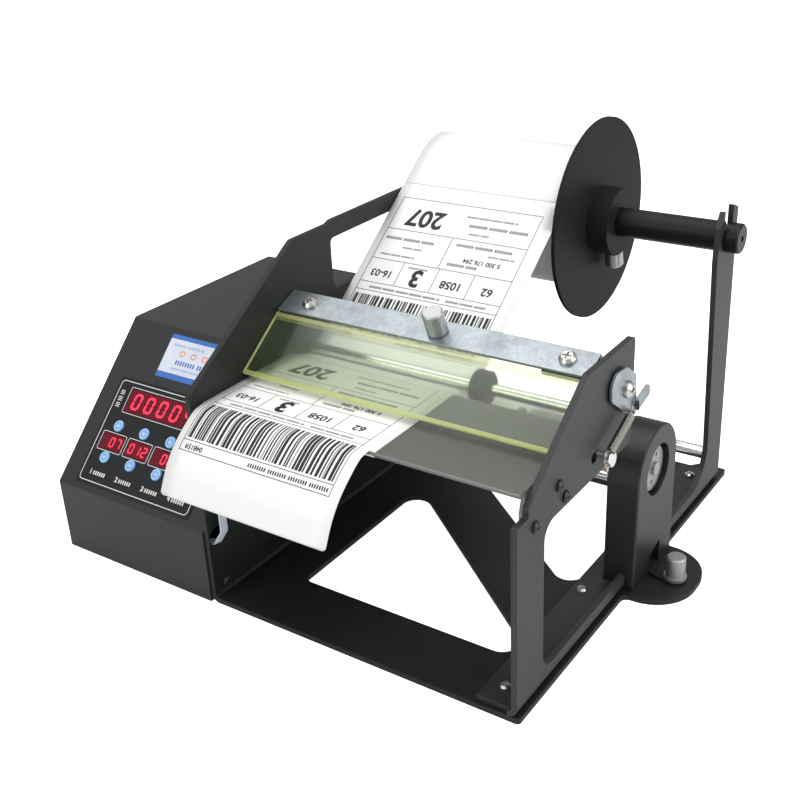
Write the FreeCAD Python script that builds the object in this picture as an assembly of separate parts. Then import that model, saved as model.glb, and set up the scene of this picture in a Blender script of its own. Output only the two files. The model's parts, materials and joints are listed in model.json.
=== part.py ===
import FreeCAD, Part
import math
import os

os.makedirs("parts", exist_ok=True)

# Driving dimensions in millimetres: X across, Y to the rear, Z up, floor underside at Z = 0
SHEET = 3.0
BEND = 5.0
INNER_W = 178.0
LEFT_IN = SHEET
RIGHT_IN = LEFT_IN + INNER_W
RIGHT_OUT = RIGHT_IN + SHEET
FLOOR_X = RIGHT_OUT + 1.2
FLOOR_Y = 257.3
TAB_X = RIGHT_OUT - 16.5
TAB_Y = FLOOR_Y + 5.5
FLOAT = 0.3
FIT = 0.08
SLIP = 1.0

# The exported origin: on the underside of the floor's diagonal strip, as measured from the corner
ORIGIN_X = 97.0
ORIGIN_Y = 125.0

# Side plate outlines as (y, z, corner radius)
PLATE_REAR = 250.0
RIGHT_REAR = PLATE_REAR + 1.5
LEFT_EDGE = [(0, BEND, 0), (0, 121, 4), (86.6, 174.9, 4), (117.5, 174.9, 1), (121, 176.2, 1),
             (246, 176.2, 4), (PLATE_REAR, 100, 3), (PLATE_REAR, BEND, 0)]
LEFT_WINDOW = [(118.8, 137, 6), (214, 137, 6), (214, 166.4, 6), (118.8, 166.4, 3)]
FLANGE_Z = SHEET
FLANGE_TOP = FLANGE_Z + SHEET
RIGHT_EDGE = [(0, FLANGE_Z + BEND, 0), (0, 102.9, 1), (9.9, 102.9, 0.8), (9.9, 107.4, 1), (64.1, 146.8, 4),
              (114, 147.3, 3), (114, 91.3, 3), (24.6, 91.3, 9), (24.6, 12.8, 9), (230.5, 12.8, 22),
              (219.6, 150, 4), (220.6, 168, 2), (225.5, 175.8, 1.5), (241, 176.2, 1.5), (246.6, 173.6, 2),
              (247, 145, 6), (RIGHT_REAR, FLANGE_Z + BEND, 0)]
FLANGE_IN = RIGHT_OUT - 22.5
FLANGE_Y0 = 2.0
NOTCH_TOP = 15.0

# Floor cut-outs and ear as (x, y, corner radius)
CUT_FRONT = [(33, 37, 5), (RIGHT_OUT - 8, 37, 9), (33, 152, 9)]
CUT_REAR = [(RIGHT_OUT - 23, 98, 9), (RIGHT_OUT - 23, 213, 5), (18, 213, 9)]
EAR_REACH = 29.2
EAR_OUT = FLOOR_X + EAR_REACH
EAR_Y0 = 112.0
EAR_Y1 = 166.0
EAR_R = 24.0
EAR_ROOT = 4.0
SMALL_HOLE_R = 1.5
FLOOR_SCREWS = [(RIGHT_OUT - 13.5, 13.6), (RIGHT_OUT - 17.0, 99.9), (RIGHT_OUT - 17.0, 182.0),
                (RIGHT_OUT - 13.5, 240.0)]

# Label stock
STOCK_X0 = 3.4
STOCK_X1 = 107.4
RETURN_X0 = 5.4
WEB_T = 0.3
LINER_T = 0.2
LABEL_T = 0.15
LABEL_X0 = 4.6
LABEL_X1 = 104.6
LAP = 6.0
PEELED = [(9.2, 114.88), (4.5, 114.7), (0.0, 113.3), (-8.0, 108.0), (-16.0, 101.2), (-22.5, 92.8), (-28.3, 81.6)]

# Reel
REEL_Y = 233.0
REEL_Z = 160.3
SHAFT_R = 8.2
NECK_R = 6.0
KNOB_X = RIGHT_OUT + 8.0
ROLL_R = 39.7
CORE_R = 15.8
CORE_IN = 12.8
REEL_DISC_R = 57.0
REEL_DISC_T = 2.0
REEL_DISC_X = STOCK_X1 + 0.1
HUB_R = 19.0
HUB_L = 12.5
HUB_SCREW_X = 7.0
SET_DIA = 10.4
SET_H = 9.5
SET_TILT = 12.0
STUD_R = 2.0

# Peel plate
PEEL_Z = 114.3
PEEL_T = 2.0
PEEL_Y = 7.5
NOSE_R = 0.95
CREST_Y = 73.5
CREST_R = 8.0
PEEL_EDGE = [(PEEL_Y, PEEL_Z - PEEL_T, NOSE_R), (PEEL_Y, PEEL_Z, NOSE_R), (76, PEEL_Z, CREST_R), (82, 110.4, 0.5),
             (80.9, 108.75, 0.5), (75.4, PEEL_Z - PEEL_T, 6)]
PEEL_FLANGE = [(13, PEEL_Z - PEEL_T, 0), (60, PEEL_Z - PEEL_T, 0), (60, 100, 4), (50, 92, 4), (10.5, 92, 3),
               (10.5, 104, 3)]
PEEL_SCREWS = [(15.9, 95.8), (37.8, 104.9), (44, 96.4)]

# Guide rod with its collar
ROD_Y = 95.0
ROD_Z = 111.5
ROD_R = 3.0
COLLAR_R = 9.0
COLLAR_L = 8.0
COLLAR_X = STOCK_X1 + 1.2
COLLAR_SCREW_R = 1.6
COLLAR_SET = FreeCAD.Vector(0, -math.cos(math.radians(35)), math.sin(math.radians(35)))

# Drive and pinch rollers
DRIVE_Y = 89.4
DRIVE_Z = 93.2
DRIVE_R = 9.2
AXLE_R = 3.5
PINCH_Y = 75.4
PINCH_Z = 102.0
PINCH_R = 7.0
PIN_R = 2.5
PINCH_TRAVEL = 3.0
ROLLER_X0 = LEFT_IN + 5.0
ROLLER_X1 = RIGHT_IN - 13.0
ROLLER_STOP_T = 1.0
PINCH_END_X = -6.0
BUSH_R = 5.2
BUSH_FLANGE = 6.6
BUSH_LIP = 1.2

# Rewind spindle and its support
SPIN_Y = 140.0
SPIN_Z = 64.3
SPIN_BAR_R = 2.5
SPIN_PITCH_R = 11.7
SPIN_X0 = LEFT_IN + 2.0
SPIN_X1 = RIGHT_IN - 13.0
SPIN_DISC_T = 2.0
COIL_WOUND = 2.2
COIL_R = SPIN_PITCH_R + SPIN_BAR_R + COIL_WOUND
HOUSE_X0 = RIGHT_IN - 9.0
HOUSE_X1 = HOUSE_X0 + 17.0
HOUSE_R = 24.5
HOUSE_FOOT_T = 1.5
HOUSE_EDGE = 1.2
WINDOW_R = 14.0
WINDOW_DEPTH = 4.5
BEARING_R = 13.0
BEARING_BORE = 5.0
BEARING_T = 8.0
BEARING_LIP = 2.0
RACE_T = 2.5
RACE_DEPTH = 0.8
CAP_T = 2.0
CAP_BOSS_R = 3.5
CAP_BOSS_T = 1.6
CAP_HOLE_R = 1.1
CAP_HOLE_AT = (2.4, 7.0)
EAR_SCREW_X = EAR_OUT - 11.4
EAR_SCREW_Y = 137.0
EAR_SCREW_R = 5.1
EAR_SCREW_H = 13.2
EAR_STUD_R = 2.5

# Clamp strip and guard: the strip's top face runs from its front edge up to its rear edge
STRIP_FRONT = (70.0, 142.8)
STRIP_REAR = (84.5, 148.6)
STRIP_T = 1.5
GUARD_T = 2.0
GUARD_END = (38.8, 118.8)
LUG_T = 2.5
LUG_W = 24.0
STRIP_SCREWS = (LEFT_IN + 17.0, RIGHT_IN - 13.6)
STRIP_MID = 7.8
THUMB_X = (LEFT_IN + RIGHT_IN) / 2 + 6.0
THUMB_R = 5.3
THUMB_H = 13.0
PAN_R = 1.95
PAN_HOLE_R = 2.0

# Pressure lever
LEVER_Y = 101.6
LEVER_Z = 125.1
LEVER_T = 2.0
LEVER_X = RIGHT_OUT + FLOAT
LEVER_PIN = (103.0, 113.5)
LEVER_PIN_R = 1.2
LEVER_TAB = [(109.2, 111.9, 0.3), (110.5, 110.1, 0.3), (121.5, 117.6, 0.8), (120.2, 119.4, 0.8)]
LEVER_TAB_W = 8.5
LEVER_EDGE = [(103.2, 109.8, 3), (113.4, 113.6, 2), (111.8, 129.5, 5), (100.5, 138.8, 7), (90.0, 139.6, 5),
              (84.4, 133.5, 4), (85.2, 125.0, 3)]
SPRING_X = LEVER_X + LEVER_T + 2.7
SPRING_R = 1.9
WIRE_R = 0.45
GROOVE = 0.35
TURNS = 6

# Rear tie rod
TIE_Y = 236.0
TIE_Z = 26.0
TIE_R = 3.8

# Control box: its slanted panel leans back at 45 degrees; places on it as (x, distance up the slope)
BOX_W = 109.5
BOX_T = 1.5
BOX_Y0 = -1.0
BOX_Y1 = 193.3
BOX_HEADROOM = 23.1
BOX_H = DRIVE_Z + BOX_HEADROOM
BOX_BEND = 42.5
BOX_BEND_R = 2.0
BOX_IN = BOX_T - BOX_W
SIDE_FLANGE_H = 14.0
LEFT_SCREWS = [(8.7, 8.6), (176.0, 9.0)]
BOX_SCREWS = [(BOX_IN + 6.0, 8.0), (BOX_IN + 6.0, BOX_H - 10.3), (-8.0, 8.0), (-8.0, BOX_H - 10.3)]
VENT_W = 3.0
BOTTOM_VENTS = [60.0 + 3 * VENT_W * k for k in range(5)]
SLANT = math.sqrt(0.5)

# Control panel
MAIN_LED = (-BOX_W + 22.9, -24.0, 48.9, 62.6)
COLUMN_PITCH = (BOX_W - 49.5) / 3
COLUMNS = [-24.4 - COLUMN_PITCH * k for k in (3, 2, 1, 0)]
SMALL_LED_W = COLUMN_PITCH * 0.825
SMALL_LED_H = 9.3
SMALL_LED_S = 29.9
LED_DEPTH = 6.0
PLUS_S = 39.8
MINUS_S = 20.8
BUTTON_R = 3.4
BUTTON_H = 0.9
BUTTON_EDGE = 0.4
BUTTON_TRAVEL = 0.5
BUTTON_BASE = -BOX_T - 1.1
OVERLAY = (-BOX_W + 11.3, -12.4, 3.8, 68.0)
OVERLAY_T = 0.4
STICKER = (-BOX_W + 33.5, -34.0, 73.6, 99.8)
STICKER_T = 0.2
BOARD_GAP = 5.0
BOARD_T = 1.6
BOARD_RIM = 2.0
POST_R = 2.5
POST_INSET = 6.0
SWITCH_HALF = 3.0
CARRIER_INSET = 13.0
CARRIER_HALF = (7.0, 4.0)

# Box interior
MOTOR_Y = 97.0
MOTOR_Z = 46.0
MOTOR_PULLEY_R = 9.0
DRIVE_PULLEY_R = 9.0
SPIN_PULLEY_R = 13.0
BELT_T = 1.4
BELT_W = 8.0
BELT_X = -9.0
GEARBOX = 42.0
GEARBOX_L = 22.0
MOTOR_R = 18.0
MOTOR_L = 46.0
MOTOR_CAP_R = 9.0
MOTOR_CAP_L = 4.0
STANDOFF_R = 3.0
GEAR_X1 = BELT_X - BELT_W / 2 - 4.0
RIM_T = 1.0
SUPPLY_X0 = BOX_IN + 6.0
SUPPLY_Y0 = 112.0
SUPPLY_W = 40.0
SUPPLY_L = 62.0
SUPPLY_Z = 8.0
CORE_H = 28.4
CAP_R = 5.5
CAP_H = 20.4
SINK_H = 18.4
FIN_T = 1.5
FIN_PITCH = 3.0
FINS = 5

# Rear wall fittings: mains inlet and rocker switch
INLET_X = (-BOX_W + 17.5, -BOX_W + 45.5)
INLET_Z = (14.0, 34.0)
INLET_DEPTH = 16.0
INLET_RIM = 3.0
INLET_RIM_T = 2.0
PIN_HALF = (1.0, 2.5)
SWITCH_X = (INLET_X[1] + 16.0, INLET_X[1] + 31.0)
SWITCH_Z = (13.0, 34.0)
SWITCH_DEPTH = 14.0
SWITCH_WALL = 1.5
SWITCH_RIM_T = 1.8
WELL_DEPTH = 9.0
ROCKER_DEPTH = 2.5
ROCKER_TILT = 8.0
ROCKER_PLAY = 0.3

# Take-away sensor under the peel plate and its lead
SENSOR_X = (9.0, 21.0)
SENSOR_Y = (15.0, 27.0)
SENSOR_TOP = PEEL_Z - PEEL_T - 3.2
SENSOR_LOW = PEEL_Z - PEEL_T - 9.0
LEAD_Y = 6.6
LEAD_Z = 38.0
LEAD_HOLE_R = 5.6
LEAD_W = 5.0
LEAD_T = 0.8
LEAD_LEAN = 10.0
LEAD_DROP = 4.2
LEAD_BEND = (LEFT_IN + 4.8, LEAD_Z + 4.0)
LEAD_WAIST = (LEFT_IN + 2.4, LEAD_Z + 16.0)


def vec(x, y, z):
    return FreeCAD.Vector(x, y, z)


def yz(x):
    return lambda a, b: vec(x, a, b)


def xy(z):
    return lambda a, b: vec(a, b, z)


def rounded_face(points, place):
    """Closed face through (a, b, corner radius) points, each corner a tangent arc."""
    cuts = []
    for i, (a, b, r) in enumerate(points):
        here = vec(a, b, 0)
        back = vec(points[i - 1][0], points[i - 1][1], 0) - here
        nxt = points[(i + 1) % len(points)]
        ahead = vec(nxt[0], nxt[1], 0) - here
        back.normalize()
        ahead.normalize()
        half = back.getAngle(ahead) / 2
        if r == 0:
            cuts.append((here, here, here))
            continue
        reach = r / math.tan(half)
        middle = back + ahead
        middle.normalize()
        mid = here + middle * (r / math.sin(half) - r)
        cuts.append((here + back * reach, mid, here + ahead * reach))
    edges = []
    for i, (start, mid, end) in enumerate(cuts):
        following = cuts[(i + 1) % len(cuts)][0]
        if start.distanceToPoint(end) > 1e-6:
            edges.append(Part.Arc(place(start.x, start.y), place(mid.x, mid.y), place(end.x, end.y)).toShape())
        if end.distanceToPoint(following) > 1e-6:
            edges.append(Part.makeLine(place(end.x, end.y), place(following.x, following.y)))
    return Part.Face(Part.Wire(edges))


def plate_yz(points, x0, x1):
    return rounded_face(points, yz(x0)).extrude(vec(x1 - x0, 0, 0))


def plate_xy(points, z0, z1):
    return rounded_face(points, xy(z0)).extrude(vec(0, 0, z1 - z0))


def box(x0, x1, y0, y1, z0, z1):
    return Part.makeBox(x1 - x0, y1 - y0, z1 - z0, vec(x0, y0, z0))


def rod_x(x0, x1, y, z, r):
    return Part.makeCylinder(r, x1 - x0, vec(x0, y, z), vec(1, 0, 0))


def rod_z(x, y, z0, z1, r):
    return Part.makeCylinder(r, z1 - z0, vec(x, y, z0))


def tube_x(x0, x1, y, z, r, bore):
    return rod_x(x0, x1, y, z, r).cut(rod_x(x0 - 1, x1 + 1, y, z, bore))


def turned(profile, pos, axis):
    """Solid of revolution of (radius, height) points about an axis through pos."""
    points = [vec(r, 0, h) for r, h in profile]
    wire = Part.makePolygon(points + points[:1])
    solid = Part.Face(wire).revolve(vec(0, 0, 0), vec(0, 0, 1), 360)
    solid.Placement = FreeCAD.Placement(pos, FreeCAD.Rotation(vec(0, 0, 1), axis))
    return solid


def pan_screw(pos, axis, head_r, head_h, shank_r, shank_l):
    """Cross-recessed pan head standing on pos, shank going the other way."""
    profile = [(0, -shank_l), (shank_r, -shank_l), (shank_r, 0), (head_r, 0), (head_r, head_h * 0.5),
               (head_r * 0.65, head_h), (0, head_h)]
    screw = turned(profile, vec(0, 0, 0), vec(0, 0, 1))
    arm = head_r * 0.55
    slot = head_r * 0.11
    depth = head_h * 0.5
    top = head_h + SLIP
    cross = box(-arm, arm, -slot, slot, depth, top).fuse(box(-slot, slot, -arm, arm, depth, top))
    screw = screw.cut(cross)
    screw.Placement = FreeCAD.Placement(pos, FreeCAD.Rotation(vec(0, 0, 1), axis))
    return screw


def thumb_screw(pos, axis, r, height, stud_r, stud_l):
    """Plain round thumb-screw with chamfered rims, standing on pos."""
    edge = 0.8
    profile = [(0, -stud_l), (stud_r, -stud_l), (stud_r, 0), (r - edge, 0), (r, edge), (r, height - edge),
               (r - edge, height), (0, height)]
    return turned(profile, pos, axis)


def tangent(first, second):
    """Contact points of the line leaving one signed circle for the next; +1 turns anticlockwise."""
    (y1, z1, r1, s1), (y2, z2, r2, s2) = first, second
    dist = math.hypot(y2 - y1, z2 - z1)
    heading = math.atan2(z2 - z1, y2 - y1) - math.asin((s2 * r2 - s1 * r1) / dist)
    left = (-math.sin(heading), math.cos(heading))
    return ((y1 - s1 * r1 * left[0], z1 - s1 * r1 * left[1]), (y2 - s2 * r2 * left[0], z2 - s2 * r2 * left[1]))


def straight_strip(a, b, half, x0, x1):
    dist = math.hypot(b[0] - a[0], b[1] - a[1])
    ny, nz = -(b[1] - a[1]) / dist * half, (b[0] - a[0]) / dist * half
    corners = [(a[0] + ny, a[1] + nz, 0), (b[0] + ny, b[1] + nz, 0), (b[0] - ny, b[1] - nz, 0),
               (a[0] - ny, a[1] - nz, 0)]
    return plate_yz(corners, x0, x1)


def curved_strip(circle, a, b, half, x0, x1):
    y, z, r, s = circle
    start = math.atan2(a[1] - z, a[0] - y)
    sweep = (s * (math.atan2(b[1] - z, b[0] - y) - start)) % (2 * math.pi)

    def at(radius, part):
        angle = start + s * sweep * part
        return vec(x0, y + radius * math.cos(angle), z + radius * math.sin(angle))

    outer, inner = r + half, r - half
    edges = [Part.Arc(at(outer, 0), at(outer, 0.5), at(outer, 1)).toShape(),
             Part.makeLine(at(outer, 1), at(inner, 1)),
             Part.Arc(at(inner, 1), at(inner, 0.5), at(inner, 0)).toShape(),
             Part.makeLine(at(inner, 0), at(outer, 0))]
    return Part.Face(Part.Wire(edges)).extrude(vec(x1 - x0, 0, 0))


def ribbon(circles, thickness, x0, x1, closed=False):
    """Band of even thickness round a chain of signed circles."""
    count = len(circles)
    legs = [tangent(circles[i], circles[(i + 1) % count]) for i in range(count if closed else count - 1)]
    pieces = [straight_strip(a, b, thickness / 2, x0, x1) for a, b in legs]
    for i in range(0 if closed else 1, count if closed else count - 1):
        pieces.append(curved_strip(circles[i], legs[i - 1][1], legs[i][0], thickness / 2, x0, x1))
    return pieces[0].multiFuse(pieces[1:]).removeSplitter()


def strip_axis():
    run = STRIP_REAR[0] - STRIP_FRONT[0]
    rise = STRIP_REAR[1] - STRIP_FRONT[1]
    length = math.hypot(run, rise)
    return run / length, rise / length, length


def on_strip(s, depth):
    """Point in YZ at distance s up the strip's slope and depth below its top face."""
    cy, cz, _ = strip_axis()
    return STRIP_FRONT[0] + cy * s + cz * depth, STRIP_FRONT[1] + cz * s - cy * depth


def strip_normal():
    cy, cz, _ = strip_axis()
    return vec(0, -cz, cy)


def strip_layer(s0, s1, top, bottom, x0, x1):
    corners = [on_strip(s0, top), on_strip(s1, top), on_strip(s1, bottom), on_strip(s0, bottom)]
    return plate_yz([(a, b, 0) for a, b in corners], x0, x1)


def strip_holes(r, places):
    tools = []
    for x in places:
        y, z = on_strip(STRIP_MID, 0)
        normal = strip_normal()
        tools.append(Part.makeCylinder(r, 24, vec(x, y, z) - normal * 16, normal))
    return Part.makeCompound(tools)


def lug(x0, x1):
    """Tab under the clamp strip that its screw holds."""
    top = STRIP_T + GUARD_T
    return strip_layer(0.5, strip_axis()[2], top, top + LUG_T, x0, x1).cut(strip_holes(PAN_HOLE_R, STRIP_SCREWS))


def shaft_slot(x0, x1):
    half = NECK_R + FIT
    return rod_x(x0, x1, REEL_Y, REEL_Z, half).fuse(box(x0, x1, REEL_Y - half, REEL_Y + half, REEL_Z, 200))


def quarter_bend(x, z, toward, y0, y1):
    """Bent strip joining a flat sheet to an upright one; toward is +1 when the upright is on the low X side."""
    ring = Part.makeCylinder(BEND, y1 - y0, vec(x, y0, z), vec(0, 1, 0))
    ring = ring.cut(Part.makeCylinder(BEND - SHEET, y1 - y0, vec(x, y0, z), vec(0, 1, 0)))
    low = x - BEND if toward > 0 else x
    return ring.common(box(low, low + BEND, y0, y1, z - BEND, z))


def base_frame():
    outline = [(BEND, 0, 0), (FLOOR_X, 0, 2), (FLOOR_X, EAR_Y0, EAR_ROOT), (EAR_OUT, EAR_Y0, EAR_R),
               (EAR_OUT, EAR_Y1, EAR_R), (FLOOR_X, EAR_Y1, EAR_ROOT), (FLOOR_X, TAB_Y, 2), (TAB_X + 2, TAB_Y, 1),
               (TAB_X - 3, FLOOR_Y, 1), (BEND, FLOOR_Y, 0)]
    floor = plate_xy(outline, 0, SHEET)
    floor = floor.cut(plate_xy(CUT_FRONT, -1, SHEET + 1)).cut(plate_xy(CUT_REAR, -1, SHEET + 1))
    for x, y in FLOOR_SCREWS:
        floor = floor.cut(rod_z(x, y, -1, SHEET + 1, SMALL_HOLE_R))
    floor = floor.cut(rod_z(EAR_SCREW_X, EAR_SCREW_Y, -1, SHEET + 1, EAR_STUD_R + 0.1))
    side = plate_yz(LEFT_EDGE, 0, SHEET).cut(plate_yz(LEFT_WINDOW, -1, SHEET + 1))
    side = side.cut(shaft_slot(-1, SHEET + 1))
    side = side.cut(rod_x(-1, SHEET + 1, DRIVE_Y, DRIVE_Z, BUSH_R)).cut(rod_x(-1, SHEET + 1, SPIN_Y, SPIN_Z, BUSH_R))
    side = side.cut(pinch_slot(-1, SHEET + 1)).cut(rod_x(-1, SHEET + 1, LEAD_Y, LEAD_Z, LEAD_HOLE_R))
    for y, z in PEEL_SCREWS + LEFT_SCREWS + standoff_places():
        side = side.cut(rod_x(-1, SHEET + 1, y, z, SMALL_HOLE_R))
    corner = quarter_bend(BEND, BEND, 1, 0, PLATE_REAR)
    tab = lug(SHEET, SHEET + LUG_W)
    return side.multiFuse([corner, floor, tab]).removeSplitter()


def pinch_slot(x0, x1):
    half = PIN_R + 0.2
    slot = rod_x(x0, x1, PINCH_Y, PINCH_Z, half).fuse(rod_x(x0, x1, PINCH_Y - PINCH_TRAVEL, PINCH_Z, half))
    return slot.fuse(box(x0, x1, PINCH_Y - PINCH_TRAVEL, PINCH_Y, PINCH_Z - half, PINCH_Z + half))


def right_side_plate():
    side = plate_yz(RIGHT_EDGE, RIGHT_IN, RIGHT_OUT)
    side = side.cut(shaft_slot(RIGHT_IN - 1, RIGHT_OUT + 1)).cut(pinch_slot(RIGHT_IN - 1, RIGHT_OUT + 1))
    side = side.cut(rod_x(RIGHT_IN - 1, RIGHT_OUT + 1, DRIVE_Y, DRIVE_Z, BUSH_R))
    side = side.cut(rod_x(RIGHT_IN - 1, RIGHT_OUT + 1, LEVER_Y, LEVER_Z, PAN_HOLE_R))
    for y, z in PEEL_SCREWS:
        side = side.cut(rod_x(RIGHT_IN - 1, RIGHT_OUT + 1, y, z, SMALL_HOLE_R))
    corner = quarter_bend(RIGHT_OUT - BEND, FLANGE_Z + BEND, -1, 0, RIGHT_REAR)
    foot = box(FLANGE_IN, RIGHT_OUT - BEND, FLANGE_Y0, PLATE_REAR, FLANGE_Z, FLANGE_TOP)
    for x, y in FLOOR_SCREWS:
        foot = foot.cut(rod_z(x, y, 0, FLANGE_TOP + 1, SMALL_HOLE_R))
    joined = side.multiFuse([corner, foot, lug(RIGHT_IN - LUG_W, RIGHT_IN)])
    room = HOUSE_R + 0.5
    notch = box(HOUSE_X0 - 0.5, FLOOR_X, SPIN_Y - room, SPIN_Y + room, 0, NOTCH_TOP)
    return joined.cut(notch).removeSplitter()


def peel_plate():
    plate = plate_yz(PEEL_EDGE, LEFT_IN, RIGHT_IN)
    for x in (LEFT_IN, RIGHT_IN - PEEL_T):
        flange = plate_yz(PEEL_FLANGE, x, x + PEEL_T)
        for y, z in PEEL_SCREWS:
            flange = flange.cut(rod_x(x - 1, x + PEEL_T + 1, y, z, SMALL_HOLE_R))
        plate = plate.fuse(flange)
    return plate.removeSplitter()


def sensor_strip():
    length = strip_axis()[2]
    layer = strip_layer(0, length, 0, STRIP_T, LEFT_IN + 0.5, RIGHT_IN - 0.5)
    return layer.cut(strip_holes(PAN_HOLE_R, STRIP_SCREWS)).cut(strip_holes(STUD_R + 0.1, (THUMB_X,)))


def acrylic_guard():
    length = strip_axis()[2]
    bend = on_strip(-1.0, STRIP_T)
    rear = on_strip(length, STRIP_T)
    rear_low = on_strip(length, STRIP_T + GUARD_T)
    run, rise = bend[0] - GUARD_END[0], bend[1] - GUARD_END[1]
    reach = math.hypot(run, rise)
    ny, nz = rise / reach * GUARD_T, -run / reach * GUARD_T
    turn = on_strip(-1.0 + GUARD_T * 0.12, STRIP_T + GUARD_T)
    outline = [(rear[0], rear[1], 0.3), (bend[0], bend[1], 7), (GUARD_END[0], GUARD_END[1], 0.3),
               (GUARD_END[0] + ny, GUARD_END[1] + nz, 0.3), (turn[0], turn[1], 5), (rear_low[0], rear_low[1], 0.3)]
    guard = plate_yz(outline, LEFT_IN + FLOAT, RIGHT_IN - FLOAT)
    return guard.cut(strip_holes(PAN_HOLE_R, STRIP_SCREWS)).cut(strip_holes(STUD_R + 0.1, (THUMB_X,)))


def pan_screws():
    """The two screws of the clamp strip and the lever's pivot screw, all of one size."""
    y, z = on_strip(STRIP_MID, 0)
    grip = STRIP_T + GUARD_T + LUG_T
    places = [(vec(x, y, z), strip_normal(), grip) for x in STRIP_SCREWS]
    places.append((vec(LEVER_X + LEVER_T + 0.1, LEVER_Y, LEVER_Z), vec(1, 0, 0), LEVER_T + SHEET + 0.2))
    return Part.makeCompound([pan_screw(pos, axis, 4.2, 2.8, PAN_R, length) for pos, axis, length in places])


def guard_thumbscrew():
    y, z = on_strip(STRIP_MID, 0)
    return thumb_screw(vec(THUMB_X, y, z), strip_normal(), THUMB_R, THUMB_H, STUD_R, 8.0)


def guide_collar():
    middle = vec(COLLAR_X + COLLAR_L / 2, ROD_Y, ROD_Z)
    edge = 0.8
    bore = ROD_R + FIT
    profile = [(bore, 0), (COLLAR_R - edge, 0), (COLLAR_R, edge), (COLLAR_R, COLLAR_L - edge),
               (COLLAR_R - edge, COLLAR_L), (bore, COLLAR_L)]
    ring = turned(profile, vec(COLLAR_X, ROD_Y, ROD_Z), vec(1, 0, 0))
    return ring.cut(Part.makeCylinder(COLLAR_SCREW_R, COLLAR_R + 1, middle, COLLAR_SET))


def collar_screw():
    start = vec(COLLAR_X + COLLAR_L / 2, ROD_Y, ROD_Z) + COLLAR_SET * (ROD_R + FLOAT)
    length = COLLAR_R - ROD_R - FLOAT
    screw = Part.makeCylinder(COLLAR_SCREW_R, length, start, COLLAR_SET)
    socket = start + COLLAR_SET * (length - COLLAR_SCREW_R)
    return screw.cut(Part.makeCylinder(COLLAR_SCREW_R / 2, length, socket, COLLAR_SET))


def drive_roller():
    return tube_x(ROLLER_X0, ROLLER_X1, DRIVE_Y, DRIVE_Z, DRIVE_R, AXLE_R)


def drive_shaft():
    return rod_x(BELT_X - BELT_W / 2 - 2, RIGHT_OUT + 2.2, DRIVE_Y, DRIVE_Z, AXLE_R)


def pulley(y, z, r, bore):
    """Flanged belt pulley round its shaft."""
    half = BELT_W / 2 + FLOAT
    rim_r = r + BELT_T + 1
    profile = [(bore, -half - RIM_T), (rim_r, -half - RIM_T), (rim_r, -half), (r, -half), (r, half), (rim_r, half),
               (rim_r, half + RIM_T), (bore, half + RIM_T)]
    return turned(profile, vec(BELT_X, y, z), vec(1, 0, 0))


def drive_belt():
    out = BELT_T / 2 + FLOAT
    circles = [(DRIVE_Y, DRIVE_Z, DRIVE_PULLEY_R + out, 1), (MOTOR_Y, MOTOR_Z, MOTOR_PULLEY_R + out, 1),
               (SPIN_Y, SPIN_Z, SPIN_PULLEY_R + out, 1)]
    return ribbon(circles, BELT_T, BELT_X - BELT_W / 2, BELT_X + BELT_W / 2, True)


def bushing(x, y, z, bore, toward):
    """Flanged plain bearing through a side plate, lip on the inner face."""
    lip = x + SHEET if toward > 0 else x - BUSH_LIP
    ring = rod_x(x, x + SHEET, y, z, BUSH_R).fuse(rod_x(lip, lip + BUSH_LIP, y, z, BUSH_FLANGE))
    return ring.cut(rod_x(x - 3, x + SHEET + 3, y, z, bore + FIT)).removeSplitter()


def shaft_bushings():
    return Part.makeCompound([bushing(0, DRIVE_Y, DRIVE_Z, AXLE_R, 1), bushing(0, SPIN_Y, SPIN_Z, AXLE_R, 1),
                              bushing(RIGHT_IN, DRIVE_Y, DRIVE_Z, AXLE_R, -1)])


def pinch_shaft():
    shaft = rod_x(PINCH_END_X, SPRING_X + 2, PINCH_Y, PINCH_Z, PIN_R)
    for x in (ROLLER_X0 - FLOAT - ROLLER_STOP_T, ROLLER_X1 + FLOAT):
        shaft = shaft.fuse(rod_x(x, x + ROLLER_STOP_T, PINCH_Y, PINCH_Z, PIN_R + 1.2))
    return shaft.removeSplitter()


def pinch_roller():
    return tube_x(ROLLER_X0, ROLLER_X1, PINCH_Y, PINCH_Z, PINCH_R, PIN_R + FIT)


def rewind_spindle():
    """Two end discs joined by three bars, with a stub at each end."""
    left = rod_x(SPIN_X0, SPIN_X0 + SPIN_DISC_T, SPIN_Y, SPIN_Z, SPIN_PITCH_R + SPIN_BAR_R + 1)
    right = rod_x(SPIN_X1, SPIN_X1 + SPIN_DISC_T, SPIN_Y, SPIN_Z, COIL_R)
    stub = rod_x(BELT_X - BELT_W / 2 - 2, SPIN_X0, SPIN_Y, SPIN_Z, AXLE_R)
    end = rod_x(SPIN_X1 + SPIN_DISC_T, HOUSE_X1 - WINDOW_DEPTH, SPIN_Y, SPIN_Z, BEARING_BORE)
    shape = left.multiFuse([right, stub, end])
    for k in range(3):
        angle = math.radians(270 + 120 * k)
        y = SPIN_Y + SPIN_PITCH_R * math.cos(angle)
        z = SPIN_Z + SPIN_PITCH_R * math.sin(angle)
        shape = shape.fuse(rod_x(SPIN_X0 + 1, SPIN_X1 + 1, y, z, SPIN_BAR_R))
    return shape.removeSplitter()


def liner_coil():
    return tube_x(SPIN_X0 + SPIN_DISC_T, STOCK_X1, SPIN_Y, SPIN_Z, COIL_R, SPIN_PITCH_R + SPIN_BAR_R)


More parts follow.
